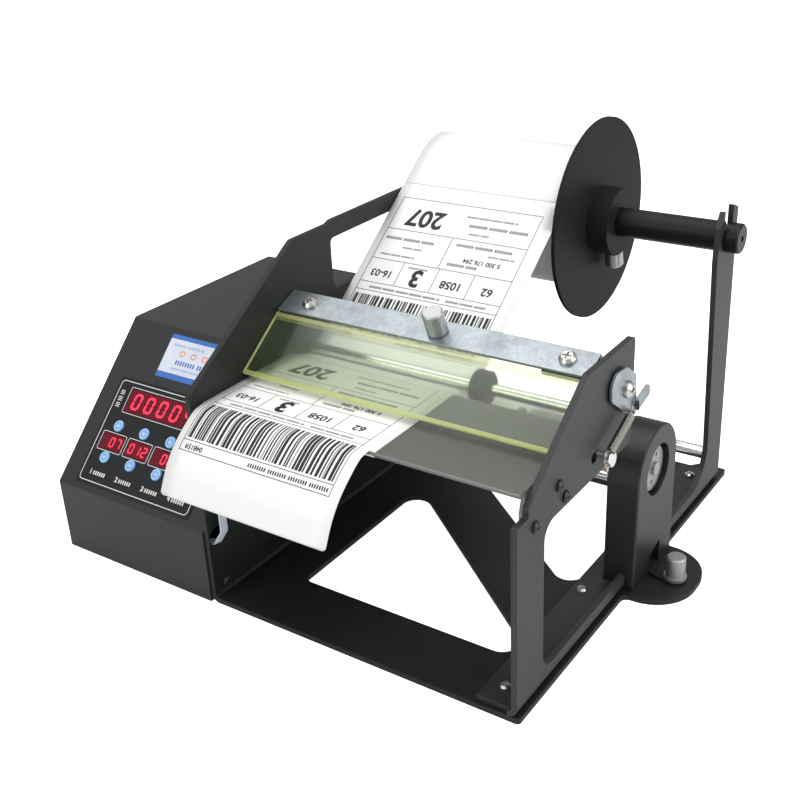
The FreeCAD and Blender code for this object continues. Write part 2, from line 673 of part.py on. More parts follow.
def side_housing():
    """Arched support: bearing bore, round window, hollow foot and a tab under the thumb-screw."""
    z0 = SHEET
    block = box(HOUSE_X0, HOUSE_X1, SPIN_Y - HOUSE_R, SPIN_Y + HOUSE_R, z0, SPIN_Z)
    block = block.fuse(rod_x(HOUSE_X0, HOUSE_X1, SPIN_Y, SPIN_Z, HOUSE_R)).removeSplitter()
    rim = [e for e in block.Edges if abs(e.CenterOfMass.x - HOUSE_X1) < 0.01 and e.CenterOfMass.z > z0 + 1]
    block = block.makeFillet(HOUSE_EDGE, rim)
    bore_x1 = HOUSE_X1 - WINDOW_DEPTH
    block = block.cut(rod_x(bore_x1, HOUSE_X1 + 1, SPIN_Y, SPIN_Z, WINDOW_R))
    block = block.cut(rod_x(bore_x1 - BEARING_T, bore_x1 + 1, SPIN_Y, SPIN_Z, BEARING_R))
    block = block.cut(rod_x(HOUSE_X0 - 1, bore_x1, SPIN_Y, SPIN_Z, BEARING_R - BEARING_LIP))
    reach = HOUSE_R - SHEET
    ceiling = SPIN_Z - BEARING_R - BEND
    pocket = [(SPIN_Y - reach, z0 + 1, 2), (SPIN_Y + reach, z0 + 1, 2), (SPIN_Y + reach, ceiling, 6),
              (SPIN_Y - reach, ceiling, 6)]
    block = block.cut(plate_yz(pocket, HOUSE_X0 - 1, HOUSE_X1 - SHEET))
    arch = [(SPIN_Y - 5, z0 - 1, 0), (SPIN_Y + 8, z0 - 1, 0), (SPIN_Y + 8, z0 + 15, 1), (SPIN_Y - 5, z0 + 11, 1)]
    block = block.cut(plate_yz(arch, HOUSE_X1 - SHEET - 1, HOUSE_X1 + 1))
    tab = [(HOUSE_X1 - SHEET, SPIN_Y - 4.5, 0), (EAR_SCREW_X + 4, SPIN_Y - 10.5, 5), (EAR_SCREW_X + 6, SPIN_Y + 4, 5),
           (HOUSE_X1 - SHEET, SPIN_Y + 7.5, 0)]
    foot = plate_xy(tab, z0, z0 + HOUSE_FOOT_T)
    sill = box(HOUSE_X0, HOUSE_X1 - SHEET, SPIN_Y - HOUSE_R, SPIN_Y + HOUSE_R, z0, z0 + HOUSE_FOOT_T)
    hole = rod_z(EAR_SCREW_X, EAR_SCREW_Y, z0 - 1, z0 + HOUSE_FOOT_T + 1, EAR_STUD_R + 0.1)
    return block.multiFuse([foot, sill]).cut(hole).removeSplitter()


def spindle_bearing():
    x1 = HOUSE_X1 - WINDOW_DEPTH
    ring = tube_x(x1 - BEARING_T, x1, SPIN_Y, SPIN_Z, BEARING_R, BEARING_BORE + FIT)
    groove = tube_x(x1 - RACE_DEPTH, x1 + 1, SPIN_Y, SPIN_Z, BEARING_R - BEARING_LIP, BEARING_BORE + RACE_T)
    return ring.cut(groove)


def spindle_cap():
    """Retaining disc on the spindle's end, with a boss and two screw holes."""
    x0 = HOUSE_X1 - WINDOW_DEPTH
    profile = [(0, 0), (BEARING_BORE, 0), (BEARING_BORE, FLOAT), (BEARING_R - 1, FLOAT), (BEARING_R - 1, CAP_T),
               (CAP_BOSS_R, CAP_T), (CAP_BOSS_R, CAP_T + CAP_BOSS_T), (0, CAP_T + CAP_BOSS_T)]
    disc = turned(profile, vec(x0, SPIN_Y, SPIN_Z), vec(1, 0, 0))
    for side in (-1, 1):
        y, z = SPIN_Y + side * CAP_HOLE_AT[0], SPIN_Z + side * CAP_HOLE_AT[1]
        disc = disc.cut(rod_x(x0 + CAP_T / 2, x0 + CAP_T + 1, y, z, CAP_HOLE_R))
    return disc


def ear_thumbscrew():
    foot_top = SHEET + HOUSE_FOOT_T
    pos = vec(EAR_SCREW_X, EAR_SCREW_Y, foot_top)
    rim = rod_z(EAR_SCREW_X, EAR_SCREW_Y, foot_top, foot_top + 1.8, EAR_SCREW_R + 0.9)
    body = thumb_screw(pos, vec(0, 0, 1), EAR_SCREW_R, EAR_SCREW_H, EAR_STUD_R, foot_top - FLOAT)
    return rim.fuse(body).removeSplitter()


def pressure_lever():
    plate = plate_yz(LEVER_EDGE, LEVER_X, LEVER_X + LEVER_T)
    plate = plate.cut(rod_x(LEVER_X - 1, LEVER_X + LEVER_T + 1, LEVER_Y, LEVER_Z, PAN_HOLE_R))
    finger = plate_yz(LEVER_TAB, LEVER_X, LEVER_X + LEVER_TAB_W)
    pin = rod_x(LEVER_X, SPRING_X + 1.2, *LEVER_PIN, LEVER_PIN_R)
    return plate.multiFuse([finger, pin]).removeSplitter()


def eye(y, z, inner):
    """Flat eye of the spring's wire round a pin."""
    return tube_x(SPRING_X - WIRE_R, SPRING_X + WIRE_R, y, z, inner + 2 * WIRE_R, inner)


def tension_spring():
    """Close-wound extension spring as a grooved solid with an eye at each end."""
    y0, z0 = PINCH_Y, PINCH_Z
    y1, z1 = LEVER_PIN
    low, high = PIN_R + FLOAT, LEVER_PIN_R + FLOAT
    start = low + WIRE_R
    end = math.hypot(y1 - y0, z1 - z0) - high - WIRE_R
    pitch = (end - start) / TURNS
    profile = [(0, start)]
    for k in range(TURNS):
        base = start + k * pitch
        profile += [(SPRING_R - GROOVE, base), (SPRING_R, base + pitch / 2)]
    profile += [(SPRING_R - GROOVE, end), (0, end)]
    coil = turned(profile, vec(SPRING_X, y0, z0), vec(0, y1 - y0, z1 - z0))
    return coil.multiFuse([eye(y0, z0, low), eye(y1, z1, high)]).removeSplitter()


def reel_shaft():
    """Grooved shaft that drops into the slots of both side plates, with the bush that fills the core."""
    edge = 0.8
    play = 0.25
    left = 3.0
    hole = 1.7
    groove_l = (-play, LEFT_IN + play)
    groove_r = (RIGHT_IN - play, RIGHT_OUT + play)
    outline = [(0, -left), (SHAFT_R - edge, -left), (SHAFT_R, edge - left), (SHAFT_R, groove_l[0]),
               (NECK_R, groove_l[0]), (NECK_R, groove_l[1]), (SHAFT_R, groove_l[1]), (SHAFT_R, groove_r[0]),
               (NECK_R, groove_r[0]), (NECK_R, groove_r[1]), (SHAFT_R, groove_r[1]), (SHAFT_R, KNOB_X - edge),
               (SHAFT_R - edge, KNOB_X), (hole, KNOB_X), (hole, KNOB_X - 6), (0, KNOB_X - 6)]
    shaft = turned(outline, vec(0, REEL_Y, REEL_Z), vec(1, 0, 0))
    bush = rod_x(STOCK_X0 + 2, STOCK_X1 - 2, REEL_Y, REEL_Z, CORE_IN)
    return shaft.fuse(bush).removeSplitter()


def reel_flange():
    x1 = REEL_DISC_X + REEL_DISC_T
    disc = rod_x(REEL_DISC_X, x1, REEL_Y, REEL_Z, REEL_DISC_R)
    hub = rod_x(x1, x1 + HUB_L, REEL_Y, REEL_Z, HUB_R)
    body = disc.fuse(hub).cut(rod_x(REEL_DISC_X - 1, x1 + HUB_L + 1, REEL_Y, REEL_Z, SHAFT_R + FIT))
    start, axis = hub_screw_axis()
    return body.cut(Part.makeCylinder(STUD_R + 0.1, HUB_R, start, axis)).removeSplitter()


def hub_screw_axis():
    angle = math.radians(-90 + SET_TILT)
    start = vec(REEL_DISC_X + REEL_DISC_T + HUB_SCREW_X, REEL_Y, REEL_Z)
    return start, vec(0, math.cos(angle), math.sin(angle))


def flange_thumbscrew():
    start, axis = hub_screw_axis()
    stand = HUB_R + FLOAT
    return thumb_screw(start + axis * stand, axis, SET_DIA / 2, SET_H, STUD_R, stand - SHAFT_R - FLOAT)


def label_roll():
    return tube_x(STOCK_X0, STOCK_X1 - 0.2, REEL_Y, REEL_Z, ROLL_R, CORE_R)


def roll_core():
    return tube_x(STOCK_X0, STOCK_X1 - 0.2, REEL_Y, REEL_Z, CORE_R, CORE_IN)


def label_web():
    """Printed stock on its liner: off the roll, under the rod, over the plate and round its edge."""
    half = WEB_T / 2
    lift = half + 0.05
    nose = (PEEL_Y + NOSE_R, PEEL_Z - NOSE_R, NOSE_R + lift, 1)
    crest = (CREST_Y, PEEL_Z - CREST_R, CREST_R + lift, 1)
    rod = (ROD_Y, ROD_Z, ROD_R + FLOAT + half, -1)
    roll = (REEL_Y, REEL_Z, ROLL_R + FLOAT + half, 1)
    legs = [tangent(roll, rod), tangent(rod, crest), tangent(crest, nose)]
    pieces = [straight_strip(a, b, half, STOCK_X0, STOCK_X1) for a, b in legs]
    pieces.append(curved_strip(rod, legs[0][1], legs[1][0], half, STOCK_X0, STOCK_X1))
    pieces.append(curved_strip(crest, legs[1][1], legs[2][0], half, STOCK_X0, STOCK_X1))
    side = (nose[0] - nose[2], nose[1])
    pieces.append(curved_strip(nose, legs[2][1], side, half, STOCK_X0, STOCK_X1))
    top = (roll[0] + LAP, roll[1] + math.sqrt(roll[2] ** 2 - LAP ** 2))
    pieces.append(curved_strip(roll, top, legs[0][0], half, STOCK_X0, STOCK_X1))
    return pieces[0].multiFuse(pieces[1:]).removeSplitter()


def liner_return():
    """Bare liner from the peel edge over the pinch roller, down the nip and on to the coil."""
    half = LINER_T / 2
    gap = math.hypot(DRIVE_Y - PINCH_Y, DRIVE_Z - PINCH_Z) - DRIVE_R - PINCH_R
    nose = (PEEL_Y + NOSE_R, PEEL_Z - PEEL_T + NOSE_R, NOSE_R + half + 0.1, 1)
    pinch = (PINCH_Y, PINCH_Z, PINCH_R + gap / 2, -1)
    drive = (DRIVE_Y, DRIVE_Z, DRIVE_R + gap / 2, 1)
    coil = (SPIN_Y, SPIN_Z, COIL_R + FLOAT + half, 1)
    legs = [tangent(nose, pinch), tangent(drive, coil)]
    reach = (DRIVE_Y - PINCH_Y, DRIVE_Z - PINCH_Z)
    share = pinch[2] / math.hypot(reach[0], reach[1])
    nip = (PINCH_Y + reach[0] * share, PINCH_Z + reach[1] * share)
    pieces = [straight_strip(a, b, half, RETURN_X0, STOCK_X1) for a, b in legs]
    side = (nose[0] - nose[2], nose[1])
    pieces.append(curved_strip(nose, side, legs[0][0], half, RETURN_X0, STOCK_X1))
    pieces.append(curved_strip(pinch, legs[0][1], nip, half, RETURN_X0, STOCK_X1))
    pieces.append(curved_strip(drive, nip, legs[1][0], half, RETURN_X0, STOCK_X1))
    return pieces[0].multiFuse(pieces[1:]).removeSplitter()


def peeled_label():
    """Leading label off the peel edge, curving down: a thin band between two curves."""
    upper, lower = [], []
    for i, (y, z) in enumerate(PEELED):
        before = PEELED[max(i - 1, 0)]
        after = PEELED[min(i + 1, len(PEELED) - 1)]
        dy, dz = after[0] - before[0], after[1] - before[1]
        scale = LABEL_T / 2 / math.hypot(dy, dz)
        upper.append(vec(LABEL_X0, y - dz * scale, z + dy * scale))
        lower.append(vec(LABEL_X0, y + dz * scale, z - dy * scale))
    curves = []
    for points in (upper, lower):
        curve = Part.BSplineCurve()
        curve.interpolate(points)
        curves.append(curve.toShape())
    edges = [curves[0], Part.makeLine(upper[-1], lower[-1]), curves[1], Part.makeLine(lower[0], upper[0])]
    return Part.Face(Part.Wire(Part.sortEdges(edges)[0])).extrude(vec(LABEL_X1 - LABEL_X0, 0, 0))


def panel_block(x0, x1, s0, s1, low, high):
    """Block on the slanted panel: s up the slope, heights measured out from its face."""
    def at(s, h):
        return BOX_Y0 + SLANT * (s - h), BOX_BEND + SLANT * (s + h), 0

    return plate_yz([at(s0, low), at(s1, low), at(s1, high), at(s0, high)], x0, x1)


def panel_disc(x, s, r, low, high):
    normal = vec(0, -SLANT, SLANT)
    start = vec(x, BOX_Y0 + SLANT * s, BOX_BEND + SLANT * s)
    return Part.makeCylinder(r, high - low, start + normal * low, normal)


def led_openings(grow):
    """Blocks of the displays' outlines, each grown by a clearance."""
    x0, x1, s0, s1 = MAIN_LED
    blocks = [panel_block(x0 - grow, x1 + grow, s0 - grow, s1 + grow, -LED_DEPTH, OVERLAY_T)]
    w, h = SMALL_LED_W / 2 + grow, SMALL_LED_H / 2 + grow
    for x in COLUMNS:
        blocks.append(panel_block(x - w, x + w, SMALL_LED_S - h, SMALL_LED_S + h, -LED_DEPTH, OVERLAY_T))
    return blocks


def key_places():
    return [(x, PLUS_S) for x in COLUMNS] + [(x, MINUS_S) for x in COLUMNS]


def shell_profile(inset, bend_r):
    """Side profile of the box, moved inwards by inset, with its two bends rounded."""
    y0 = BOX_Y0 + inset
    top = BOX_H - inset
    low_z = BOX_BEND + inset - inset / SLANT
    high_y = BOX_Y0 + top - BOX_BEND + inset / SLANT
    return [(y0, 0, 0), (y0, low_z, bend_r), (high_y, top, bend_r), (BOX_Y1, top, 0), (BOX_Y1, 0, 0)]


def control_box_shell():
    """Folded cover open below, behind and towards the side plate, with windows for displays and keys."""
    block = plate_yz(shell_profile(0, BOX_BEND_R), -BOX_W, 0)
    hollow = plate_yz(shell_profile(BOX_T, 0), BOX_IN, 1)
    shell = block.cut(hollow)
    for tool in led_openings(0.3):
        shell = shell.cut(tool)
    for x, s in key_places():
        shell = shell.cut(panel_disc(x, s, BUTTON_R + 0.3, -4, 2))
    return shell.removeSplitter()


def rear_vents():
    low = BOX_IN + 16.0
    return [(low + k * 2.5 * VENT_W, low + (k * 2.5 + 1) * VENT_W, 62.0, BOX_H - 18.3) for k in range(6)]


def control_box_cover():
    """Bottom, rear wall and side flange in one sheet, with vents and openings for the fittings."""
    bottom = box(BOX_IN, 0, BOX_Y0 + BOX_T, BOX_Y1 - BOX_T, 0, BOX_T)
    rear = box(BOX_IN, 0, BOX_Y1 - BOX_T, BOX_Y1, 0, BOX_H - BOX_T)
    for x0, x1, z0, z1 in [(*INLET_X, *INLET_Z), (*SWITCH_X, *SWITCH_Z)] + rear_vents():
        rear = rear.cut(box(x0, x1, BOX_Y1 - 5, BOX_Y1 + 5, z0, z1))
    for y in BOTTOM_VENTS:
        bottom = bottom.cut(box(BOX_IN / 2 - 20, BOX_IN / 2 + 20, y, y + VENT_W, -1, BOX_T + 1))
    for x, z in BOX_SCREWS:
        rear = rear.cut(Part.makeCylinder(SMALL_HOLE_R, 4, vec(x, BOX_Y1 - 3, z), vec(0, 1, 0)))
    flange = box(-BOX_T, 0, BOX_Y0 + BOX_T, BOX_Y1 - BOX_T, 0, SIDE_FLANGE_H)
    for y, z in LEFT_SCREWS:
        flange = flange.cut(rod_x(-BOX_T - 1, 1, y, z, SMALL_HOLE_R))
    return rear.multiFuse([bottom, flange]).removeSplitter()


def panel_overlay():
    x0, x1, s0, s1 = OVERLAY
    sheet = panel_block(x0, x1, s0, s1, 0, OVERLAY_T)
    for tool in led_openings(0.3):
        sheet = sheet.cut(tool)
    for x, s in key_places():
        sheet = sheet.cut(panel_disc(x, s, BUTTON_R + 0.3, -1, 2))
    return sheet


def panel_sticker():
    x0, x1, s0, s1 = STICKER
    return panel_block(x0, x1, s0, s1, 0, STICKER_T)


def small_displays():
    return Part.makeCompound(led_openings(0)[1:])


def button(x, s):
    """Round key cap through the panel, bevelled in front, over the plunger of its switch."""
    top = OVERLAY_T + BUTTON_H
    profile = [(0, BUTTON_BASE), (BUTTON_R, BUTTON_BASE), (BUTTON_R, top - BUTTON_EDGE), (BUTTON_R - BUTTON_EDGE, top),
               (0, top)]
    return turned(profile, vec(x, BOX_Y0 + SLANT * s, BOX_BEND + SLANT * s), vec(0, -SLANT, SLANT))


def control_board():
    """Board on four posts behind the panel, with a switch under each key and a carrier under each display."""
    x0, x1, s0, s1 = OVERLAY
    face = -BOX_T - BOARD_GAP
    rim, inset, half = BOARD_RIM, POST_INSET, SWITCH_HALF
    switch_top = BUTTON_BASE - FLOAT - BUTTON_TRAVEL
    board = panel_block(x0 + rim, x1 - rim, s0 + rim, s1 - rim, face - BOARD_T, face)
    parts = [panel_disc(x, s, POST_R, face, -BOX_T) for x in (x0 + inset, x1 - inset) for s in (s0 + inset, s1 - inset)]
    parts += [panel_block(x - half, x + half, s - half, s + half, face, switch_top) for x, s in key_places()]
    parts.append(panel_block(x0 + CARRIER_INSET, x1 - CARRIER_INSET, MAIN_LED[2], MAIN_LED[3], face, -LED_DEPTH))
    w, h = CARRIER_HALF
    parts += [panel_block(x - w, x + w, SMALL_LED_S - h, SMALL_LED_S + h, face, -LED_DEPTH) for x in COLUMNS]
    return board.multiFuse(parts).removeSplitter()


def supply_board():
    """Power supply board on posts: transformer core and coil, capacitors, terminals and a heat sink."""
    x0, y0 = SUPPLY_X0, SUPPLY_Y0
    x1, y1 = x0 + SUPPLY_W, y0 + SUPPLY_L
    top = SUPPLY_Z + BOARD_T
    board = box(x0, x1, y0, y1, SUPPLY_Z, top)
    parts = [rod_z(x, y, BOX_T, SUPPLY_Z, STANDOFF_R) for x in (x0 + 4, x1 - 4) for y in (y0 + 4, y1 - 4)]
    parts.append(box(x0 + 4, x0 + 22, y0 + 20, y1 - 6, top, top + CORE_H))
    parts.append(box(x0 + 1, x0 + 25, y0 + 26, y1 - 12, top + 3.4, top + CORE_H - 5))
    parts.append(box(x0 + 4, x0 + 18, y0 + 6, y0 + 16, top, top + 10.4))
    parts += [rod_z(x1 - 7, y, top, top + CAP_H, CAP_R) for y in (y0 + 14, y0 + 28)]
    fin_x = x1 - 14
    for k in range(FINS):
        x = fin_x + k * FIN_PITCH
        parts.append(box(x, x + FIN_T, y1 - 22, y1 - 6, top, top + SINK_H))
    parts.append(box(fin_x, fin_x + FINS * FIN_PITCH - FIN_T, y1 - 22, y1 - 6, top, top + 2))
    return board.multiFuse(parts).removeSplitter()


def power_inlet():
    """Panel socket with two contact pins in its well and a rim outside the rear wall."""
    (x0, x1), (z0, z1) = INLET_X, INLET_Z
    wall, back = INLET_RIM, BOX_Y1 - INLET_DEPTH
    body = box(x0, x1, back, BOX_Y1, z0, z1)
    rim = box(x0 - wall, x1 + wall, BOX_Y1, BOX_Y1 + INLET_RIM_T, z0 - wall, z1 + wall)
    well = box(x0 + wall, x1 - wall, back + wall, BOX_Y1 + INLET_RIM_T + 1, z0 + wall, z1 - wall)
    shape = body.fuse(rim).cut(well)
    mid = (z0 + z1) / 2
    half, tall = PIN_HALF
    for x in (x0 + 8, (x0 + x1) / 2, x1 - 8):
        shape = shape.fuse(box(x - half, x + half, back + 2, BOX_Y1 - 2, mid - tall, mid + tall))
    return shape.removeSplitter()


def switch_frame():
    (x0, x1), (z0, z1) = SWITCH_X, SWITCH_Z
    wall, front = SWITCH_WALL, BOX_Y1 + SWITCH_RIM_T
    body = box(x0, x1, BOX_Y1 - SWITCH_DEPTH, BOX_Y1, z0, z1)
    rim = box(x0 - wall, x1 + wall, BOX_Y1, front, z0 - wall, z1 + wall)
    well = box(x0 + wall, x1 - wall, BOX_Y1 - WELL_DEPTH, front + 1, z0 + wall, z1 - wall)
    return body.fuse(rim).cut(well).removeSplitter()


def switch_rocker():
    """V-topped rocker that tips about a level axis in its frame."""
    (x0, x1), (z0, z1) = SWITCH_X, SWITCH_Z
    mid = (z0 + z1) / 2
    y = BOX_Y1
    outline = [(y - 6, mid - 3, 1), (y - 2.5, z0 + 2.6, 0.5), (y + 2.2, z0 + 2.6, 0.5), (y + 0.9, mid, 6),
               (y + 2.2, z1 - 2.6, 0.5), (y - 2.5, z1 - 2.6, 0.5), (y - 6, mid + 3, 1)]
    side = SWITCH_WALL + ROCKER_PLAY
    rocker = plate_yz(outline, x0 + side, x1 - side)
    rocker.rotate(vec(0, y - ROCKER_DEPTH, mid), vec(1, 0, 0), ROCKER_TILT)
    return rocker


def standoff_places():
    reach = GEARBOX / 2 - 3.5
    return [(MOTOR_Y + a * reach, MOTOR_Z + b * reach) for a in (-1, 1) for b in (-1, 1)]


def drive_motor():
    """Square gearbox on four pillars, with a round motor behind it."""
    half = GEARBOX / 2
    gear_x0 = GEAR_X1 - GEARBOX_L
    gearbox = [(MOTOR_Y - half, MOTOR_Z - half, 4), (MOTOR_Y + half, MOTOR_Z - half, 4),
               (MOTOR_Y + half, MOTOR_Z + half, 4), (MOTOR_Y - half, MOTOR_Z + half, 4)]
    block = plate_yz(gearbox, gear_x0, GEAR_X1)
    can = rod_x(gear_x0 - MOTOR_L, gear_x0, MOTOR_Y, MOTOR_Z, MOTOR_R)
    cap = rod_x(gear_x0 - MOTOR_L - MOTOR_CAP_L, gear_x0 - MOTOR_L, MOTOR_Y, MOTOR_Z, MOTOR_CAP_R)
    hole = rod_x(GEAR_X1 - 8, GEAR_X1 + 1, MOTOR_Y, MOTOR_Z, AXLE_R + FIT)
    posts = [rod_x(GEAR_X1 - 1, 0, y, z, STANDOFF_R) for y, z in standoff_places()]
    return block.multiFuse([can, cap] + posts).cut(hole).removeSplitter()


def motor_pulley():
    shaft = rod_x(GEAR_X1 - 7.5, BELT_X + BELT_W / 2 + 1.5, MOTOR_Y, MOTOR_Z, AXLE_R)
    return pulley(MOTOR_Y, MOTOR_Z, MOTOR_PULLEY_R, AXLE_R).fuse(shaft).removeSplitter()


def take_sensor():
    """Small optical sensor hung under the peel plate near its front edge."""
    y0, y1 = SENSOR_Y
    body = box(*SENSOR_X, y0, y1, SENSOR_LOW, SENSOR_TOP)
    arm = box(LEFT_IN + PEEL_T, SENSOR_X[0], y0 + 2, y1 - 2, SENSOR_LOW + 1, SENSOR_TOP - 1.8)
    return body.fuse(arm).removeSplitter()


def sensor_lead():
    """Flat ribbon out of the hole in the left plate, bent up and on to the sensor, leaning back."""
    half = LEAD_T / 2
    low = LEAD_Z - LEAD_DROP
    (bend_x, bend_z), (waist_x, waist_z) = LEAD_BEND, LEAD_WAIST
    head, over = SENSOR_X[0] + 2.0, SENSOR_LOW + 8
    outline = [(-SHEET, low - half, 0), (LEFT_IN + half, low - half, 2), (bend_x + half, bend_z, 3.4),
               (waist_x + half, waist_z, 8), (head + half, over, 0), (head - half, over, 0),
               (waist_x - half, waist_z, 8), (bend_x - half, bend_z, 2.6), (LEFT_IN - half, low + half, 2.8),
               (-SHEET, low + half, 0)]
    start = LEAD_Y - LEAD_W / 2
    strip = rounded_face(outline, lambda a, b: vec(a, start, b)).extrude(vec(0, LEAD_W, 0))
    strip.rotate(vec(0, LEAD_Y, LEAD_Z), vec(1, 0, 0), -LEAD_LEAN)
    return strip.cut(box(0, 30, 0, 60, SENSOR_LOW, SENSOR_LOW + 20))


def small_screw(x, y, z, axis, grip):
    return pan_screw(vec(x, y, z), axis, 2.9, 1.8, SMALL_HOLE_R - 0.05, grip)


def plate_screws():
    """Screws through the side plates: peel plate flanges and the box's side flange."""
    grip = SHEET + PEEL_T
    heads = [small_screw(RIGHT_OUT, y, z, vec(1, 0, 0), grip) for y, z in PEEL_SCREWS]
    heads += [small_screw(0, y, z, vec(-1, 0, 0), grip) for y, z in PEEL_SCREWS]
    heads += [small_screw(SHEET, y, z, vec(1, 0, 0), SHEET + BOX_T) for y, z in LEFT_SCREWS]
    return Part.makeCompound(heads)


def casing_screws():
    """Screws of the right plate's foot and of the box's rear wall."""
    heads = [small_screw(x, y, FLANGE_TOP, vec(0, 0, 1), FLANGE_TOP - 0.4) for x, y in FLOOR_SCREWS]
    heads += [small_screw(x, BOX_Y1, z, vec(0, 1, 0), BOX_T + 1.0) for x, z in BOX_SCREWS]
    return Part.makeCompound(heads)


NODES = {
    "base_frame": base_frame,
    "right_side_plate": right_side_plate,
    "peel_plate": peel_plate,
    "sensor_strip": sensor_strip,
    "acrylic_guard": acrylic_guard,
    "pan_screws": pan_screws,
    "guard_thumbscrew": guard_thumbscrew,
    "guide_rod": lambda: rod_x(LEFT_IN, RIGHT_IN, ROD_Y, ROD_Z, ROD_R),
    "guide_collar": guide_collar,
    "collar_screw": collar_screw,
    "drive_roller": drive_roller,
    "drive_shaft": drive_shaft,
    "drive_pulley": lambda: pulley(DRIVE_Y, DRIVE_Z, DRIVE_PULLEY_R, AXLE_R),
    "drive_belt": drive_belt,
    "shaft_bushings": shaft_bushings,
    "pinch_shaft": pinch_shaft,
    "pinch_roller": pinch_roller,
    "rewind_spindle": rewind_spindle,
    "spindle_pulley": lambda: pulley(SPIN_Y, SPIN_Z, SPIN_PULLEY_R, AXLE_R),
    "liner_coil": liner_coil,
    "side_housing": side_housing,
    "spindle_bearing": spindle_bearing,
    "spindle_cap": spindle_cap,
    "ear_thumbscrew": ear_thumbscrew,
    "pressure_lever": pressure_lever,
    "tension_spring": tension_spring,
    "rear_tie_rod": lambda: rod_x(LEFT_IN, RIGHT_IN, TIE_Y, TIE_Z, TIE_R),
    "reel_shaft": reel_shaft,
    "reel_flange": reel_flange,
    "flange_thumbscrew": flange_thumbscrew,
    "label_roll": label_roll,
    "roll_core": roll_core,
    "label_web": label_web,
    "liner_return": liner_return,
    "peeled_label": peeled_label,
    "control_box_shell": control_box_shell,
    "control_box_cover": control_box_cover,
    "panel_overlay": panel_overlay,
    "panel_sticker": panel_sticker,
    "main_display": lambda: led_openings(0)[0],
    "small_displays": small_displays,
    "control_board": control_board,
    "supply_board": supply_board,
    "power_inlet": power_inlet,
    "switch_frame": switch_frame,
    "switch_rocker": switch_rocker,
    "drive_motor": drive_motor,
    "motor_pulley": motor_pulley,
    "take_sensor": take_sensor,
    "sensor_lead": sensor_lead,
    "plate_screws": plate_screws,
    "casing_screws": casing_screws,
}
for number, column in enumerate(COLUMNS, 1):
    NODES[f"button_plus_{number}"] = lambda x=column: button(x, PLUS_S)
    NODES[f"button_minus_{number}"] = lambda x=column: button(x, MINUS_S)

for name, make in NODES.items():
    shape = make()
    shape.translate(vec(-ORIGIN_X, -ORIGIN_Y, 0))
    shape.exportStep(f"parts/{name}.step")
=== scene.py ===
import json
import math

import bpy
import numpy as np
from mathutils import Matrix, Vector


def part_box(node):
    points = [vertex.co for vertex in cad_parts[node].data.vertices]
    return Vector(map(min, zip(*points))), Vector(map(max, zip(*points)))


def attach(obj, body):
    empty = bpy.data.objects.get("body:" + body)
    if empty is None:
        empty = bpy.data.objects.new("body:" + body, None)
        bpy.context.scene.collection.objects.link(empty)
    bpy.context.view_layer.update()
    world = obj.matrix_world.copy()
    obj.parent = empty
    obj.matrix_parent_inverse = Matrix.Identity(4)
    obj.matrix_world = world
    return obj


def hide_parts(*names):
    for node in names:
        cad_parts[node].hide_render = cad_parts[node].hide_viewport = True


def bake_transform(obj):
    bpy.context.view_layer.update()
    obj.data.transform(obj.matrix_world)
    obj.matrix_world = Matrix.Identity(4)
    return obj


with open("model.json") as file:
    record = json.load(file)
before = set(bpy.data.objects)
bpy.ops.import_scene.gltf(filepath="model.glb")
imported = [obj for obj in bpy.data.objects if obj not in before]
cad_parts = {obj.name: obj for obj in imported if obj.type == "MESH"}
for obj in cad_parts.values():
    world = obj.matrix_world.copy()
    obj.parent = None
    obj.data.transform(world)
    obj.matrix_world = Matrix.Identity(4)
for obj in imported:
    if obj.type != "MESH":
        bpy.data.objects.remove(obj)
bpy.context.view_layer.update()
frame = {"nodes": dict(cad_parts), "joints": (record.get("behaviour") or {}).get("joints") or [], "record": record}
MM = 0.001

# Camera, solved from the straight edges of the floor, the side plates and the box
CAMERA_AT = (0.28080, -0.47636, 0.35807)
CAMERA_AZIMUTH = 35.36
CAMERA_DROP = 25.87
CAMERA_ROLL = -2.78
CAMERA_LENS = 51.60
CAMERA_SENSOR = 36

# Studio: floor in metres, its strength in glossy reflections, and the sky's at the side and overhead
FLOOR_HALF = 6.0
FLOOR_Z = -0.0002
FLOOR_IN_GLOSS = 0.1
SKY_SIDE = 0.30
SKY_TOP = 0.80
LIGHTS_LOOK_AT = (0.0, 0.0, 0.1)

# Label stock in millimetres: printed labels on a liner, with the free end of the first one behind the
# peel edge, so that its place along the web is negative
LABEL_PITCH = 130.0
LABEL_LENGTH = 127.0
LABEL_WIDTH = 100.0
LABEL_TAIL = -52.0
LABEL_INSET = 1.2
LABEL_LIFT = 0.12
LABEL_T = 0.10
LINER_T = 0.08
CORNER_R = 1.5
INK_LIFT = 0.05
INK_T = 0.02

# Free end of the label, as (y, z) in millimetres from the peel edge's top
PEEL_CURVE = [(0.75, 0.2), (-3.95, 0.1), (-8.45, -1.2), (-16.45, -6.5), (-24.45, -13.3), (-30.95, -21.7),
              (-36.75, -32.9)]

# Web's path in millimetres: its height over the plate and over the rollers, the radii of the plate's
# nose and crest, how far the crest lies behind the nose, and the steps that slopes are taken over
OVER_PLATE = 0.2
OVER_ROLLER = 0.45
NOSE_R = 0.95
CREST_R = 8.0
CREST_BACK = 65.05
RUN_STEP = 0.2
TAIL_STEP = 0.3

# Grid of the web's sheets: points across, and millimetres between rows
ACROSS = 12
ROW_STEP = 1.0

# Print on the label, in millimetres from its leading left corner: u across and v along
FRAME_U = (3.6, 94.4)
FRAME_V = (23.5, 120.0)
RULES = (29.0, 55.0, 60.5, 76.5, 97.5)
UPRIGHTS = ((47.5, 76.5, 97.5), (26.0, 60.5, 76.5), (49.0, 60.5, 76.5), (71.5, 60.5, 76.5))
LINE_WIDTH = 0.35
BAR_AREA = (5.0, 93.0, 30.5, 52.5)
BAR_STEP = 0.42

